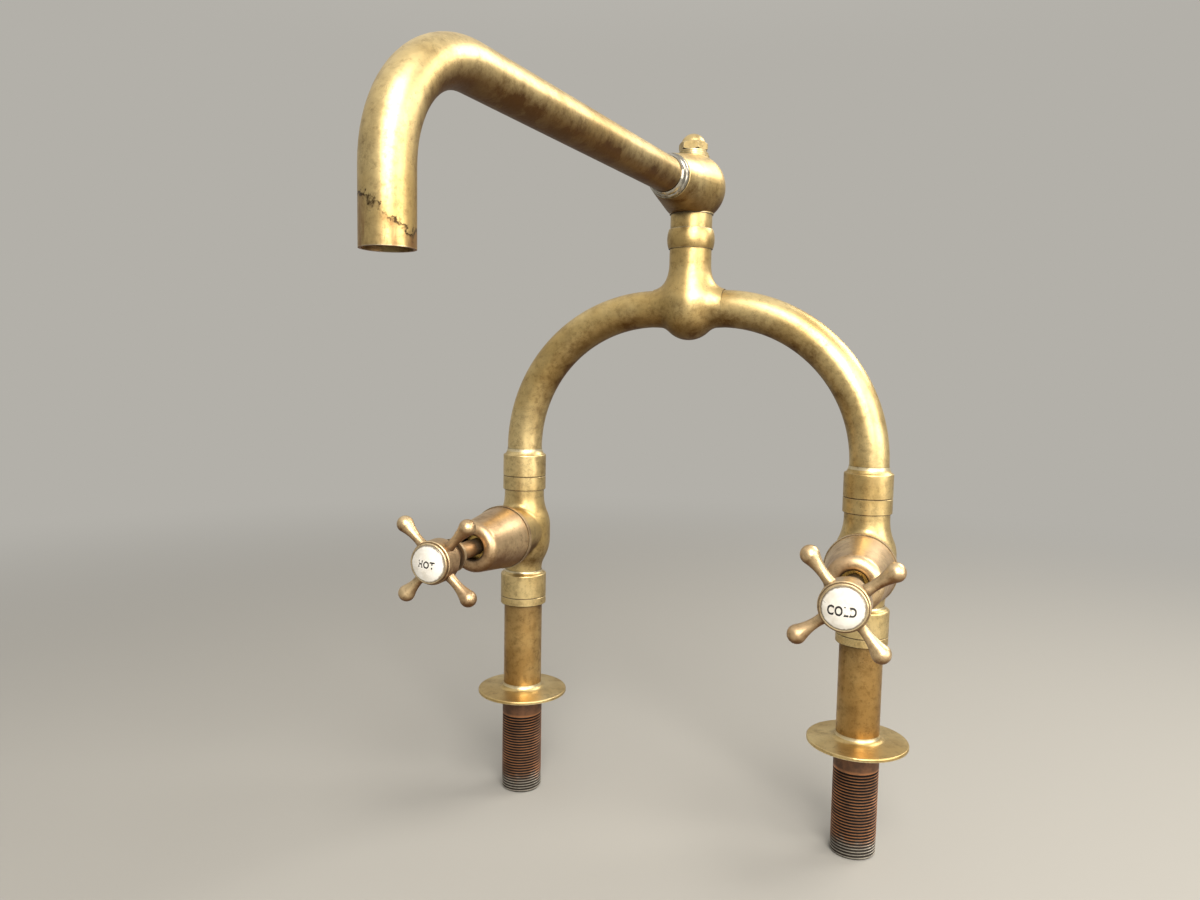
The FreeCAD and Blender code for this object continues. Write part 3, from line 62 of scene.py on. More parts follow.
# The tide line on the outlet: its fall for each millimetre across, its height over the outlet's
# end, and how far its edge wanders.
TIDE_SLANT = 0.75
TIDE_HEIGHT = 11 * MM
TIDE_WANDER = 34 * MM
TIDE = OUTLET_END + TIDE_SLANT * OUTLET_X + TIDE_HEIGHT - TIDE_WANDER / 2

CORNER_SAMPLES = 6


# Nodes of a material.

def linear(hex_colour):
    """Linear RGBA of an sRGB hex colour."""
    parts = [int(hex_colour[i:i + 2], 16) / 255 for i in (1, 3, 5)]
    return [p / 12.92 if p <= 0.04045 else ((p + 0.055) / 1.055) ** 2.4 for p in parts] + [1.0]


def per_mm(size):
    """Texture scale whose pattern repeats about every `size` millimetres."""
    return 1 / (size * MM)


def add(tree, kind, settings=None, links=None):
    """Add a node; settings go to its properties or sockets, links join sockets to it."""
    node = tree.nodes.new("ShaderNode" + kind)
    for key, value in (settings or {}).items():
        if isinstance(key, str) and hasattr(node, key):
            setattr(node, key, value)
        else:
            node.inputs[key].default_value = value
    for key, socket in (links or {}).items():
        tree.links.new(socket, node.inputs[key])
    return node


def new_material(name):
    """A material with an empty tree: its tree, its Principled shader and its Object coordinates."""
    material = bpy.data.materials.new(name)
    material.use_nodes = True
    tree = material.node_tree
    tree.nodes.clear()
    shader = add(tree, "BsdfPrincipled")
    add(tree, "OutputMaterial", links={"Surface": shader.outputs[0]})
    coords = add(tree, "TexCoord")
    return material, tree, shader, coords


def ramp(tree, socket, low, high, bottom=0.0, top=1.0):
    """A smooth step of a value from `bottom` at low to `top` at high."""
    return add(tree, "MapRange", {
        "interpolation_type": "SMOOTHSTEP", "From Min": low, "From Max": high,
        "To Min": bottom, "To Max": top}, {"Value": socket}).outputs[0]


def combine(tree, operation, first, second):
    """A clamped sum, product or other pairing of two values, sockets or numbers."""
    node = add(tree, "Math", {"operation": operation, "use_clamp": True})
    for index, item in enumerate((first, second)):
        if isinstance(item, (int, float)):
            node.inputs[index].default_value = item
        else:
            tree.links.new(item, node.inputs[index])
    return node.outputs[0]


def blend(tree, amount, under, over):
    """Colour `over` laid on `under` by an amount; each is a socket or a hex colour."""
    node = add(tree, "Mix", {"data_type": "RGBA"}, {0: amount})
    for index, item in ((6, under), (7, over)):
        if isinstance(item, str):
            node.inputs[index].default_value = linear(item)
        else:
            tree.links.new(item, node.inputs[index])
    return node.outputs[2]


def spots(tree, coords, size, detail=4.0, rough=0.55, offset=(0, 0, 0), stretch=(1, 1, 1)):
    """Uneven spots of about `size` millimetres in the piece's own space."""
    place = add(tree, "Mapping", {"Location": offset, "Scale": stretch},
                {"Vector": coords.outputs["Object"]})
    return add(tree, "TexNoise", {"Scale": per_mm(size), "Detail": detail, "Roughness": rough},
               {"Vector": place.outputs[0]}).outputs[0]


def seen_rays(tree):
    """1 for the rays that show a background: of the camera, of gloss and of transmission."""
    rays = add(tree, "LightPath")
    seen = combine(tree, "MAXIMUM", rays.outputs["Is Camera Ray"], rays.outputs["Is Glossy Ray"])
    return combine(tree, "MAXIMUM", seen, rays.outputs["Is Transmission Ray"])


def put(name, data):
    """A new object of this data in the scene, at the origin."""
    thing = bpy.data.objects.new(name, data)
    bpy.context.scene.collection.objects.link(thing)
    return thing


def patina_clouds_and_shade(tree, coords, facing, patina):
    """Broad patches of patina, some 15 mm across, more on the undersides and the far sides as
    patina and painted shade.
    """
    broad = spots(tree, coords, 15, 8, 0.68, offset=(12, 5, 7))
    cloud = combine(tree, "MULTIPLY", ramp(tree, broad, 0.44, 0.76, 0.0, 0.45), patina)
    # undersides browner: patina and painted shade
    under = ramp(tree, facing.outputs[2], 0.15, -0.80)
    cloud = combine(tree, "ADD", cloud, combine(tree, "MULTIPLY", under, 0.80 * patina))
    # the sides turned from the user are wiped less, and painted browner as shade
    back = ramp(tree, facing.outputs[1], -0.45, 0.60)
    return combine(tree, "ADD", cloud, combine(tree, "MULTIPLY", back, 0.40 * patina))


def smudges(tree, coords, facing, patina):
    """Smudges of 4 mm with ragged, grainy edges, thicker on the lower sides."""
    smudge = spots(tree, coords, 4, 9, 0.78, offset=(3, 1, 2))
    low = ramp(tree, facing.outputs[2], 0.5, -0.5, 0.0, 0.10)
    smudge = add(tree, "Math", {"operation": "ADD"}, {0: smudge, 1: low}).outputs[0]
    return combine(tree, "MULTIPLY", ramp(tree, smudge, 0.50, 0.76), 0.55 * patina)


def specks(tree, coords):
    """Small pits and specks, in clusters."""
    speck = ramp(tree, spots(tree, coords, 1.1, 5, 0.7, offset=(5, 4, 1)), 0.60, 0.66)
    cluster = ramp(tree, spots(tree, coords, 11, 4, 0.6, offset=(7, 2, 6)), 0.50, 0.64, 0.08, 1.0)
    return combine(tree, "MULTIPLY", speck, cluster)


def corner_dirt_and_shade(tree, distance, open_from, full_at):
    """0 in the open to 1 deep in corners narrower than `distance`: the mask of dirt and painted
    shade in corners.
    """
    corner = add(tree, "AmbientOcclusion", {"samples": CORNER_SAMPLES, "Distance": distance})
    return ramp(tree, corner.outputs["AO"], open_from, full_at)


def rims_worn_and_highlit(tree, distance):
    """0 on the flat to 0.85 at rims thinner than `distance`: the mask of wear and painted highlight
    on rims.
    """
    rim = add(tree, "AmbientOcclusion",
              {"samples": CORNER_SAMPLES, "inside": True, "Distance": distance})
    return ramp(tree, rim.outputs["AO"], 0.90, 0.60, 0.0, 0.85)


def old_brass(name, clean, worn, brown, soot_and_shade, stain=None, patina=1.0, rim=0.6):
    """Unlacquered brass, cast or drawn: satin where wiped, worn rims with a painted highlight,
    brown underneath and on the far sides from patina and painted shade, dark in corners from dirt
    and painted shade.

    `rim` is how far, in millimetres, the worn rims with their painted highlight reach in from an
    edge.
    """
    material, tree, shader, coords = new_material(name)
    facing = add(tree, "SeparateXYZ", links={0: coords.outputs["Normal"]})
    # painted shade with dirt: corners narrower than 5 mm darken towards near-black brown
    grime_and_shade = corner_dirt_and_shade(tree, 5 * MM, 0.92, 0.45)
    # rims rubbed bright by cloths and hands, with a painted highlight laid on them
    rim_wear_and_highlight = rims_worn_and_highlit(tree, rim * MM)
    cloud = patina_clouds_and_shade(tree, coords, facing, patina)
    if stain:
        cloud = combine(tree, "ADD", cloud, stain(tree, coords))
    smudge = smudges(tree, coords, facing, patina)
    speck = specks(tree, coords)
    tone = spots(tree, coords, 40, 3, 0.5, offset=(1, 8, 3))
    colour = blend(tree, ramp(tree, tone, 0.35, 0.65), clean, worn)
    # painted highlight on worn rims: thin edges lightened to pale cream
    colour = blend(tree, rim_wear_and_highlight, colour, "#f4e6bf")
    # patina clouds, with painted shade on the undersides and far sides
    colour = blend(tree, cloud, colour, brown)
    colour = blend(tree, smudge, colour, brown)
    colour = blend(tree, combine(tree, "MULTIPLY", speck, 0.7), colour, soot_and_shade)
    # painted shade and dirt: corners darkened nearly to black-brown
    colour = blend(tree, combine(tree, "MULTIPLY", grime_and_shade, 0.92), colour, soot_and_shade)
    tree.links.new(colour, shader.inputs["Base Color"])
    black = combine(tree, "MAXIMUM", speck, grime_and_shade)
    dirt = combine(tree, "MAXIMUM", combine(tree, "MAXIMUM", cloud, smudge), black)
    tree.links.new(ramp(tree, black, 0.0, 1.0, 1.0, 0.6), shader.inputs["Metallic"])
    scuff = ramp(tree, spots(tree, coords, 1.4, 4, 0.65, offset=(2, 9, 4)), 0.3, 0.7, -0.03, 0.05)
    gloss = add(tree, "Math", {"operation": "ADD"},
                {0: ramp(tree, dirt, 0.0, 1.0, 0.37, 0.52), 1: scuff})
    tree.links.new(gloss.outputs[0], shader.inputs["Roughness"])
    height = combine(tree, "SUBTRACT", spots(tree, coords, 1.6, 5, 0.7), speck)
    bump = add(tree, "Bump", {"Strength": 0.22, "Distance": 0.1 * MM}, {"Height": height})
    tree.links.new(bump.outputs[0], shader.inputs["Normal"])
    return material


def shader_and_coords(material):
    """The Principled shader and the Object coordinates of a finished material."""
    nodes = {node.type: node for node in material.node_tree.nodes}
    return nodes["BSDF_PRINCIPLED"], nodes["TEX_COORD"]


def leg_stain(tree, coords):
    """Brown coat that climbs the foot of the pillar."""
    level = add(tree, "SeparateXYZ", links={0: coords.outputs["Object"]}).outputs[2]
    return ramp(tree, level, 60 * MM, 40 * MM, 0.35, 0.0)


def water_marks(material):
    """Below a ragged, slanting tide line on the outlet: rosy runs; the line itself is dark."""
    tree = material.node_tree
    shader, coords = shader_and_coords(material)
    split = add(tree, "SeparateXYZ", links={0: coords.outputs["Object"]})
    slant = add(tree, "Math", {"operation": "MULTIPLY_ADD", 1: TIDE_SLANT},
                {0: split.outputs[0], 2: split.outputs[2]})
    wave = spots(tree, coords, 16, 6, 0.62, offset=(4, 4, 4))
    ragged = add(tree, "Math", {"operation": "MULTIPLY_ADD", 1: -TIDE_WANDER},
                 {0: wave, 2: slant.outputs[0]})
    edge = ragged.outputs[0]
    wet = ramp(tree, edge, TIDE + 0.5 * MM, TIDE - 1.5 * MM)
    runs = ramp(tree, spots(tree, coords, 5, 4, 0.6, offset=(6, 1, 0), stretch=(1, 1, 0.2)),
                0.34, 0.62, 0.0, 0.80)
    line = combine(tree, "MULTIPLY", ramp(tree, edge, TIDE + 1.2 * MM, TIDE + 0.2 * MM),
                   ramp(tree, edge, TIDE - 1.8 * MM, TIDE - 0.2 * MM))
    gaps = ramp(tree, spots(tree, coords, 3, 5, 0.7, offset=(1, 5, 5)), 0.34, 0.52, 0.1, 0.95)
    line = combine(tree, "MULTIPLY", line, gaps)
    base = shader.inputs["Base Color"].links[0].from_socket
    colour = blend(tree, combine(tree, "MULTIPLY", wet, runs), base, "#8a6340")
    colour = blend(tree, line, colour, "#3b2a1c")
    tree.links.new(colour, shader.inputs["Base Color"])
    return material


def brown_tail(material):
    """Below the deck: brass oxidised red-brown, worn bright on the crests with a painted highlight
    and near black in the roots as painted shade, with lime on the last 10 mm.
    """
    tree = material.node_tree
    shader, coords = shader_and_coords(material)
    split = add(tree, "SeparateXYZ", links={0: coords.outputs["Object"]})
    level = split.outputs[2]
    # distance from the leg's own axis, on either side
    side = add(tree, "Math", {"operation": "ABSOLUTE"}, {0: split.outputs[0]}).outputs[0]
    aside = add(tree, "Math", {"operation": "SUBTRACT", 1: LEG_X}, {0: side}).outputs[0]
    flat = add(tree, "CombineXYZ", links={0: aside, 1: split.outputs[1]}).outputs[0]
    reach = add(tree, "VectorMath", {"operation": "LENGTH"}, {0: flat}).outputs[1]
    crest = ramp(tree, reach, 12.9 * MM, 13.2 * MM)
    plain = ramp(tree, level, -15 * MM, -13 * MM)
    crest = combine(tree, "SUBTRACT", crest, combine(tree, "MULTIPLY", plain, 0.7))
    wear = ramp(tree, spots(tree, coords, 9, 5, 0.65, offset=(3, 3, 3)), 0.36, 0.64, 0.45, 1.0)
    worn = combine(tree, "MULTIPLY", crest, wear)
    # crests painted light as a highlight and roots painted near black as shade, over the red-brown
    oxide_shade_and_highlight = blend(tree, worn, "#130b08", "#c58a5e")
    wave = spots(tree, coords, 7, 4, 0.65, offset=(2, 2, 9))
    ragged = add(tree, "Math", {"operation": "MULTIPLY", 1: 16 * MM}, {0: wave}).outputs[0]
    edge = add(tree, "Math", {"operation": "ADD"}, {0: level, 1: ragged}).outputs[0]
    lime = ramp(tree, edge, -45 * MM, -52 * MM)
    # the lime also: crests painted pale as highlight, roots dark as shade
    tail = blend(tree, lime, oxide_shade_and_highlight, blend(tree, worn, "#2d2721", "#c9c1b2"))
    below = ramp(tree, level, 0.3 * MM, -0.3 * MM)
    shine = ramp(tree, worn, 0.0, 1.0, 0.3, 0.9)
    matt = ramp(tree, worn, 0.0, 1.0, 0.6, 0.36)
    for socket, value in (("Metallic", shine), ("Roughness", matt)):
        now = shader.inputs[socket].links[0].from_socket
        mix = add(tree, "Mix", {"data_type": "FLOAT"}, {0: below, 2: now, 3: value})
        tree.links.new(mix.outputs[0], shader.inputs[socket])
    base = shader.inputs["Base Color"].links[0].from_socket
    tree.links.new(blend(tree, below, base, tail), shader.inputs["Base Color"])
    return material


CLEAN_BRASS = "#e6ce95"
WORN_BRASS = "#c9ac70"
# patina brown, also laid on undersides and far sides as painted shade
BRASS_PATINA_AND_SHADE = "#5e4220"
# near-black brown for specks, and for the painted shade in corners
SOOT_AND_SHADE = "#2a1e14"

BRASS = old_brass("unlacquered_brass_rubbed", CLEAN_BRASS, WORN_BRASS, BRASS_PATINA_AND_SHADE, SOOT_AND_SHADE)
# sleeves this thin are all rim, so the worn rims with their painted highlight hardly reach in
THIN_SLEEVES = old_brass("unlacquered_brass_thin_sleeves", CLEAN_BRASS, WORN_BRASS, BRASS_PATINA_AND_SHADE,
                         SOOT_AND_SHADE, rim=0.02)
PILLAR = brown_tail(old_brass("unlacquered_brass_with_brown_tail", "#d2b176", "#b38d53", "#5a3e1e",
                              SOOT_AND_SHADE, leg_stain))
SPOUT = water_marks(old_brass("drawn_brass_water_stained", CLEAN_BRASS, WORN_BRASS, "#5a3e20",
                              "#2a1e15"))
HANDLE = old_brass("red_brass_cast_rubbed", "#e8cda0", "#cfb088", "#6c4a2c", "#2b1e15",
                   patina=1.15, rim=0.8)


def machined_brass():
    """Turned brass inside the valves: clean, with the fine rings of the lathe tool."""
    material, tree, shader, coords = new_material("machined_brass")
    tint = ramp(tree, spots(tree, coords, 6), 0.35, 0.65)
    tree.links.new(blend(tree, tint, "#d8b768", "#c6a25a"), shader.inputs["Base Color"])
    shader.inputs["Metallic"].default_value = 1.0
    rings = spots(tree, coords, 0.8, 2, 0.5, stretch=(1, 6, 1))
    tree.links.new(ramp(tree, rings, 0.3, 0.7, 0.22, 0.36), shader.inputs["Roughness"])
    return material


def nickel_plate():
    """Nickel plate over brass: bright, a little yellow, hazed, and darkened along its seams by dirt
    and painted shade.
    """
    material, tree, shader, coords = new_material("nickel_plate_tarnished")
    haze = ramp(tree, spots(tree, coords, 4, 4, 0.6), 0.40, 0.68)
    # painted shade with dirt: seams and corners narrower than 2 mm darkened
    grime_and_shade = corner_dirt_and_shade(tree, 2 * MM, 0.80, 0.35)
    colour = blend(tree, haze, "#b5b0a4", "#787267")
    colour = blend(tree, combine(tree, "MULTIPLY", grime_and_shade, 0.8), colour, "#2f2b25")
    tree.links.new(colour, shader.inputs["Base Color"])
    shader.inputs["Metallic"].default_value = 1.0
    tree.links.new(ramp(tree, haze, 0.0, 1.0, 0.20, 0.36), shader.inputs["Roughness"])
    return material


def disc_glaze(side, sign):
    """White glazed earthenware: warm white, faint clouding, a darker brown band along the rim."""
    material, tree, shader, coords = new_material(side + "_glazed_earthenware")
    middle = (-sign * LEG_X, 0, -VALVE_LEVEL)
    centred = add(tree, "Mapping", {"Location": middle, "Scale": (1, 0, 1)},
                  {"Vector": coords.outputs["Object"]})
    reach = add(tree, "VectorMath", {"operation": "LENGTH"}, {0: centred.outputs[0]}).outputs[1]
    cloud = ramp(tree, spots(tree, coords, 5, 3, 0.5), 0.35, 0.70)
    wave = add(tree, "Math", {"operation": "MULTIPLY", 1: 1.2 * MM},
               {0: spots(tree, coords, 1.6, 3, 0.6)})
    edge = add(tree, "Math", {"operation": "ADD"}, {0: reach, 1: wave.outputs[0]})
    rim = ramp(tree, edge.outputs[0], 9.8 * MM, 10.7 * MM, 0.0, 0.9)
    colour = blend(tree, cloud, "#efebe2", "#ded8cb")
    tree.links.new(blend(tree, rim, colour, "#6b5a44"), shader.inputs["Base Color"])
    shader.inputs["Roughness"].default_value = 0.18
    shader.inputs["Coat Weight"].default_value = 0.5
    shader.inputs["Coat Roughness"].default_value = 0.08
    return material


def plain_mottled(name, light, dark, rough, size):
    """A soft matt material with a faint mottle, for washers, packing and seals."""
    material, tree, shader, coords = new_material(name)
    mottle = spots(tree, coords, size)
    tree.links.new(blend(tree, ramp(tree, mottle, 0.35, 0.65), light, dark),
                   shader.inputs["Base Color"])
    shader.inputs["Roughness"].default_value = rough
    bump = add(tree, "Bump", {"Strength": 0.3, "Distance": 0.05 * MM}, {"Height": mottle})
    tree.links.new(bump.outputs[0], shader.inputs["Normal"])
    return material


INNER = machined_brass()
NICKEL = nickel_plate()
FIBRE = plain_mottled("red_vulcanised_fibre", "#7a3f2c", "#552a1e", 0.75, 0.8)
PACKING = plain_mottled("greased_hemp_packing", "#d6cfb9", "#a99f83", 0.7, 0.6)
RUBBER = plain_mottled("black_nitrile_rubber", "#1d1c1b", "#2a2928", 0.6, 1.2)

SLOT_FINISH = {
    "aged_brass": BRASS, "handle_brass": HANDLE, "inner_brass": INNER, "collar_nickel": NICKEL,
    "fibre": FIBRE, "packing": PACKING, "rubber": RUBBER,
}
OWN_FINISH = {
    "hot_leg": PILLAR, "cold_leg": PILLAR, "spout_tube": SPOUT, "bridge_tee": THIN_SLEEVES,
    "hot_index_disc": disc_glaze("hot", -1), "cold_index_disc": disc_glaze("cold", 1),
}

for part in frame["record"]["subparts"]:
    node = frame["nodes"][part["node"]]
    finish = OWN_FINISH.get(part["node"]) or SLOT_FINISH[part["material_slot"]]
    node.data.materials.clear()
    node.data.materials.append(finish)


# The tee, its seams run together as in a sand casting.

TEE_BALL_RADIUS = 17.0 * MM
TEE_BALL_DROP = 2.0 * MM
TEE_SLEEVE_RADIUS = 11.59 * MM
TEE_SLEEVE_FEATHER = 0.26 * MM
TEE_SLEEVE_REACH = 22.0 * MM
TEE_NECK_RADIUS = 12.7 * MM
TEE_NECK_FOOT = 7.0 * MM
TEE_NECK_TOP = 35.8 * MM
TEE_FEATHER_START = 14.0 * MM
TEE_SKIN = 0.1 * MM
TEE_NEAR = 0.01 * MM
TEE_LONGEST_EDGE = 1.8 * MM
TEE_HALVINGS = 5
TEE_STEPS = 6
TEE_SLOPE_STEP = 0.02 * MM
TEE_FACING = 0.5

# Seam, feather and foot of `tee_distance`: of the solid, whose seams are sharp, and as cast.
TEE_SHARP = (1e-9, 0.0, 1e-9)
TEE_CAST = (3.2 * MM, TEE_SLEEVE_FEATHER, 14.4 * MM)


def joined(first, second, reach):
    """Smallest of two distances, rounded over `reach` where they are nearly equal."""
    near = np.clip(1 - np.abs(first - second) / reach, 0, 1)
    return np.minimum(first, second) - near ** 2 * reach / 4


def tee_distance(points, seam, feather, foot):
    """Distance outside the tee: ball and two sleeves, joined over `seam`, and neck over `foot`.

    The sleeves thin by `feather` towards their ends.
    """
    x, y, z = points[:, 0], points[:, 1], points[:, 2] - ARCH_LEVEL
    ball = np.sqrt(x ** 2 + y ** 2 + (z + TEE_BALL_DROP) ** 2) - TEE_BALL_RADIUS
    out = np.clip((np.abs(x) - TEE_FEATHER_START) / (TEE_SLEEVE_REACH - TEE_FEATHER_START), 0, 1)
    sleeves = np.hypot(y, z) - TEE_SLEEVE_RADIUS + feather * out ** 2 * (3 - 2 * out)
    beside = np.hypot(x, y) - TEE_NECK_RADIUS
    under = TEE_NECK_FOOT - z
    neck = np.hypot(np.maximum(beside, 0), np.maximum(under, 0))
    neck = neck + np.minimum(np.maximum(beside, under), 0)
    return joined(joined(ball, sleeves, seam), neck, foot)


def tee_slope(points):
    """Gradient of the distance outside the run-together tee."""
    sides = []
    for shift in TEE_SLOPE_STEP * np.eye(3):
        ahead = tee_distance(points + shift, *TEE_CAST)
        behind = tee_distance(points - shift, *TEE_CAST)
        sides.append((ahead - behind) / (2 * TEE_SLOPE_STEP))
    return np.stack(sides, axis=1)


def tee_skin(shape):
    """Points of the tee's mesh, and which of them lie on its outside."""
    shape.verts.index_update()
    points = np.array([vertex.co[:] for vertex in shape.verts])
    return points, tee_distance(points, *TEE_SHARP) > -TEE_SKIN


def fine_tee(source):
    """A copy of the tee's mesh, cut finer outside: the mesh, its points and its outside."""
    shape = bmesh.new()
    shape.from_mesh(source)
    bmesh.ops.remove_doubles(shape, verts=shape.verts, dist=0.001 * MM)
    for _ in range(TEE_HALVINGS):
        points, skin = tee_skin(shape)
        rough = [edge for edge in shape.edges if edge.calc_length() > TEE_LONGEST_EDGE
                 and all(skin[corner.index] for corner in edge.verts)]
        bmesh.ops.subdivide_edges(shape, edges=rough, cuts=1)
        bmesh.ops.triangulate(shape, faces=shape.faces)
    points, skin = tee_skin(shape)
    mesh = bpy.data.meshes.new("cast_tee")
    shape.to_mesh(mesh)
    shape.free()
    return mesh, points, skin


def run_together(points, skin):
    """The outside's points moved along the slope to where `tee_distance` is nil; ends stay flat."""
    moved = points.copy()
    for _ in range(TEE_STEPS):
        slope = tee_slope(moved[skin])
        short = tee_distance(moved[skin], *TEE_CAST) / (slope ** 2).sum(1)
        moved[skin] -= short[:, None] * slope
    ends = skin & (np.abs(points[:, 0]) > TEE_SLEEVE_REACH - TEE_NEAR)
    moved[ends, 0] = points[ends, 0]
    top = skin & (points[:, 2] > ARCH_LEVEL + TEE_NECK_TOP - TEE_NEAR)
    moved[top, 2] = points[top, 2]
    return moved


def shade_smooth(mesh, points, skin):
    """Corner normals: the slope of `tee_distance` outside, each face's own elsewhere."""
    corners = np.empty(len(mesh.loops), np.int32)
    mesh.loops.foreach_get("vertex_index", corners)
    flat = np.empty(len(mesh.polygons) * 3, np.float32)
    mesh.polygons.foreach_get("normal", flat)
    flat = np.repeat(flat.reshape(-1, 3), 3, axis=0)
    slope = tee_slope(points)
    slope /= np.linalg.norm(slope, axis=1)[:, None]
    outward = slope[corners]
    facing = (outward * flat).sum(1).reshape(-1, 3).min(1) > TEE_FACING
    outer = skin[corners].reshape(-1, 3).all(1) & facing
    normals = np.where(np.repeat(outer, 3)[:, None], outward, flat)
    mesh.normals_split_custom_set(normals.tolist())


def cast_tee():
    """The tee with its seams run together, in place of the solid's sharp ones."""
    mesh, points, skin = fine_tee(frame["nodes"]["bridge_tee"].data)
    moved = run_together(points, skin)
    mesh.vertices.foreach_set("co", moved.astype(np.float32).ravel())
    mesh.update()
    shade_smooth(mesh, moved, skin)
    mesh.materials.append(THIN_SLEEVES)
    piece = put("cast_tee", mesh)
    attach(piece, "bridge_frame")
    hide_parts("bridge_tee")


cast_tee()


# Words on the discs.

def glaze_ink():
    """Grey-black under-glaze ink, a little uneven."""
    material, tree, shader, coords = new_material("underglaze_ink")
    fade = ramp(tree, spots(tree, coords, 0.7), 0.4, 0.7)
    tree.links.new(blend(tree, fade, "#1f1e1e", "#3a3735"), shader.inputs["Base Color"])
    shader.inputs["Roughness"].default_value = 0.3
    return material


INK = glaze_ink()
INK_LIFT = 0.06 * MM
CRACK_LIFT = 0.03 * MM


def on_disc(sign, across, up, lift):
    """Points of the domed disc: the sphere's height over (across, up) from the disc's axis."""
    depth = np.sqrt(DISC_DOME_RADIUS ** 2 - across ** 2 - up ** 2) - DISC_DOME_RADIUS
    return np.stack([sign * LEG_X + across, DISC_APEX_Y - depth - lift, VALVE_LEVEL + up], axis=1)


def disc_word(side, sign, word, width, height, tilt, centre):
    """A word's letters, scaled to size, turned by the tilt, moved to `centre`, laid on the dome."""
    curve = bpy.data.curves.new(side + "_letters", "FONT")
    curve.body = word
    curve.align_x = "CENTER"
    curve.align_y = "CENTER"
    curve.resolution_u = 6
    curve.space_character = 1.1
    # a bolder stroke, and a thin slab in place of a sheet
    curve.offset = 0.030
    curve.extrude = 0.01
    source = put(side + "_letters", curve)
    bpy.context.view_layer.update()
    mesh = bpy.data.meshes.new_from_object(source)
    bpy.data.objects.remove(source)
    points = np.empty(len(mesh.vertices) * 3, np.float32)
    mesh.vertices.foreach_get("co", points)
    points = points.reshape(-1, 3).astype(float)
    low, high = points.min(0), points.max(0)
    flat = (points - (low + high) / 2) / (high - low)
    across, up = flat[:, 0] * width, flat[:, 1] * height
    turn = math.radians(tilt)
    turned_across = centre[0] + across * math.cos(turn) + up * math.sin(turn)
    turned_up = centre[1] + up * math.cos(turn) - across * math.sin(turn)
    placed = on_disc(sign, turned_across, turned_up, flat[:, 2] * INK_LIFT + INK_LIFT / 2)
    mesh.vertices.foreach_set("co", placed.astype(np.float32).ravel())
    mesh.update()
    mesh.materials.append(INK)
    piece = put(side + "_word", mesh)
    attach(piece, side + "_handle_group")


disc_word("hot", -1, "HOT", 9.8 * MM, 4.1 * MM, 5.5, (0.5 * MM, 0.1 * MM))
disc_word("cold", 1, "COLD", 13.3 * MM, 4.8 * MM, 2, (-0.4 * MM, -0.8 * MM))


def disc_hairline(side, sign):
    """A crack in the glaze from the rim inwards: a bent line, its half width falling to a point."""
    along = np.linspace(0, 1, 13)
    across = (-9.75 + 2.1 * along) * MM
    up = (2.95 - 0.75 * along + 0.18 * np.sin(7 * along)) * MM
    half = 0.09 * MM * (1 - along ** 3)
    rows = [on_disc(sign, across, up + edge * half, CRACK_LIFT) for edge in (-1, 1)]
    points = np.concatenate(rows)
    index = np.arange(along.size - 1)
    faces = np.stack([index, index + 1, index + 1 + along.size, index + along.size], axis=1)
    mesh = bpy.data.meshes.new(side + "_disc_hairline")
    mesh.from_pydata(points.tolist(), [], faces.tolist())
    mesh.materials.append(INK)
    piece = put(side + "_disc_hairline", mesh)
    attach(piece, side + "_handle_group")


disc_hairline("cold", 1)


# Floor, lights and camera.

FLOOR_COLOUR = "#b3b0a9"
FLOOR_REACH = 12.0
FLOOR_GRID = 9
LAMP_COLOUR = "#fffaf2"
LAMP_AIM = Vector((0.0, -0.08, 0.2))
CAMERA_PLACE = (148.71 * MM, -542.25 * MM, 217.76 * MM)

# Each soft box: place, width, height and watts.
SOFT_BOXES = {
    "front": ((0.62, -1.15, 1.00), 0.9, 1.5, 34),
    "back": ((1.00, 0.95, 1.30), 1.0, 0.8, 15),
    "right": ((1.35, -0.35, 0.55), 0.9, 1.1, 12),
}


def floor_paint():
    """Matt pale board that runs into the background's colour far from the tap."""
    material, tree, shader, coords = new_material("matt_pale_board")
    shader.inputs["Base Color"].default_value = linear(FLOOR_COLOUR)
    shader.inputs["Roughness"].default_value = 0.9
    shader.inputs["Specular IOR Level"].default_value = 0.1
    reach = add(tree, "VectorMath", {"operation": "LENGTH"}, {0: coords.outputs["Object"]})
    far = ramp(tree, reach.outputs[1], 0.35, 1.5)
    seen = seen_rays(tree)
    glow = add(tree, "Emission", {"Color": linear(FLOOR_COLOUR), "Strength": 1.0})
    both = add(tree, "MixShader", links={
        0: combine(tree, "MULTIPLY", far, seen), 1: shader.outputs[0], 2: glow.outputs[0]})
    output = next(n for n in tree.nodes if n.type == "OUTPUT_MATERIAL")
    tree.links.new(both.outputs[0], output.inputs["Surface"])
    return material


def lay_floor():
    """A flat square grid at the level of the tails' ends."""
    span = np.linspace(-FLOOR_REACH, FLOOR_REACH, FLOOR_GRID)
    x, y = np.meshgrid(span, span)
    points = np.stack([x.ravel(), y.ravel(), np.full(x.size, TAIL_END)], axis=1)
    index = np.arange(x.size).reshape(x.shape)
    faces = np.stack([index[:-1, :-1], index[:-1, 1:], index[1:, 1:], index[1:, :-1]], axis=-1)
    mesh = bpy.data.meshes.new("floor")
    mesh.from_pydata(points.tolist(), [], faces.reshape(-1, 4).tolist())
    mesh.materials.append(floor_paint())
    put("floor", mesh)


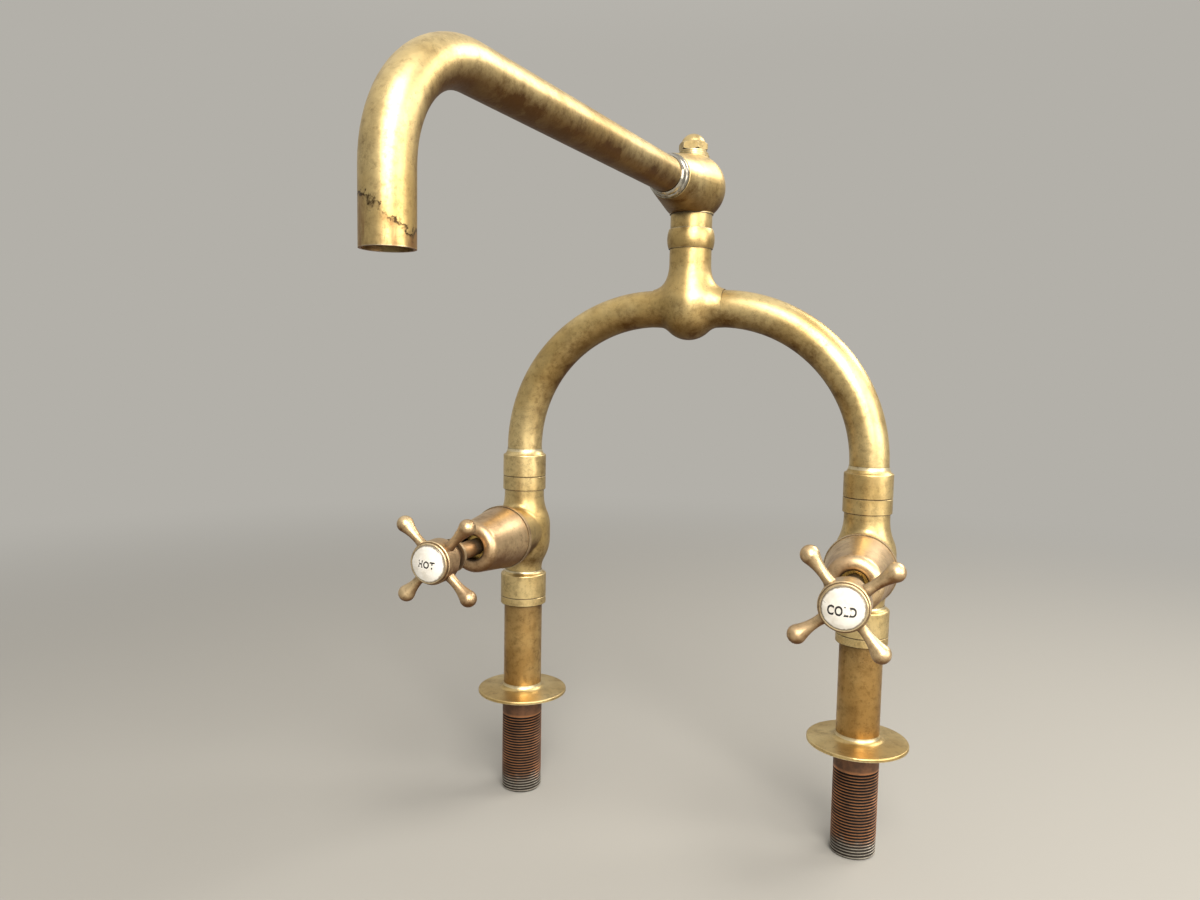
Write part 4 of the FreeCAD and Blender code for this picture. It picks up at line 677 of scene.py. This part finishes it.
def light_sky():
    """Even soft light; the camera and reflections see the floor's colour, paler overhead."""
    world = bpy.data.worlds.new("studio")
    bpy.context.scene.world = world
    world.use_nodes = True
    tree = world.node_tree
    tree.nodes.clear()
    seen = seen_rays(tree)
    soft = add(tree, "Background", {"Color": linear("#e8e8e8"), "Strength": 0.35})
    way = add(tree, "TexCoord").outputs["Generated"]
    height = ramp(tree, add(tree, "SeparateXYZ", links={0: way}).outputs[2], 0.30, 0.85)
    shown = add(tree, "Background", {"Strength": 1.0},
                {"Color": blend(tree, height, FLOOR_COLOUR, "#f4f2ee")})
    both = add(tree, "MixShader", links={0: seen, 1: soft.outputs[0], 2: shown.outputs[0]})
    add(tree, "OutputWorld", links={"Surface": both.outputs[0]})


def soft_box(name, place, width, height, watts):
    """A rectangular lamp that faces the middle of the tap."""
    lamp = bpy.data.lights.new(name, "AREA")
    lamp.shape = "RECTANGLE"
    lamp.size = width
    lamp.size_y = height
    lamp.energy = watts
    lamp.color = linear(LAMP_COLOUR)[:3]
    turn = (LAMP_AIM - Vector(place)).to_track_quat("-Z", "Y")
    put(name, lamp).matrix_world = Matrix.Translation(place) @ turn.to_matrix().to_4x4()


def place_camera():
    """The photograph's view, from a fit of some forty outlines."""
    yaw, pitch, roll = -0.362, -0.089, 0.018
    ahead = Vector((math.sin(yaw) * math.cos(pitch), math.cos(yaw) * math.cos(pitch),
                    math.sin(pitch)))
    level = Vector((math.cos(yaw), -math.sin(yaw), 0))
    top = level.cross(ahead)
    right = math.cos(roll) * level + math.sin(roll) * top
    up = math.cos(roll) * top - math.sin(roll) * level
    turn = Matrix((right, up, -ahead)).transposed().to_4x4()
    camera = bpy.data.cameras.new("camera")
    camera.sensor_width = 36.0
    camera.lens = 27.15
    camera.clip_start = 0.01
    holder = put("camera", camera)
    holder.matrix_world = Matrix.Translation(CAMERA_PLACE) @ turn
    bpy.context.scene.camera = holder


lay_floor()
light_sky()
for name, facts in SOFT_BOXES.items():
    soft_box(name, *facts)
place_camera()
bpy.context.scene.view_settings.view_transform = "Standard"
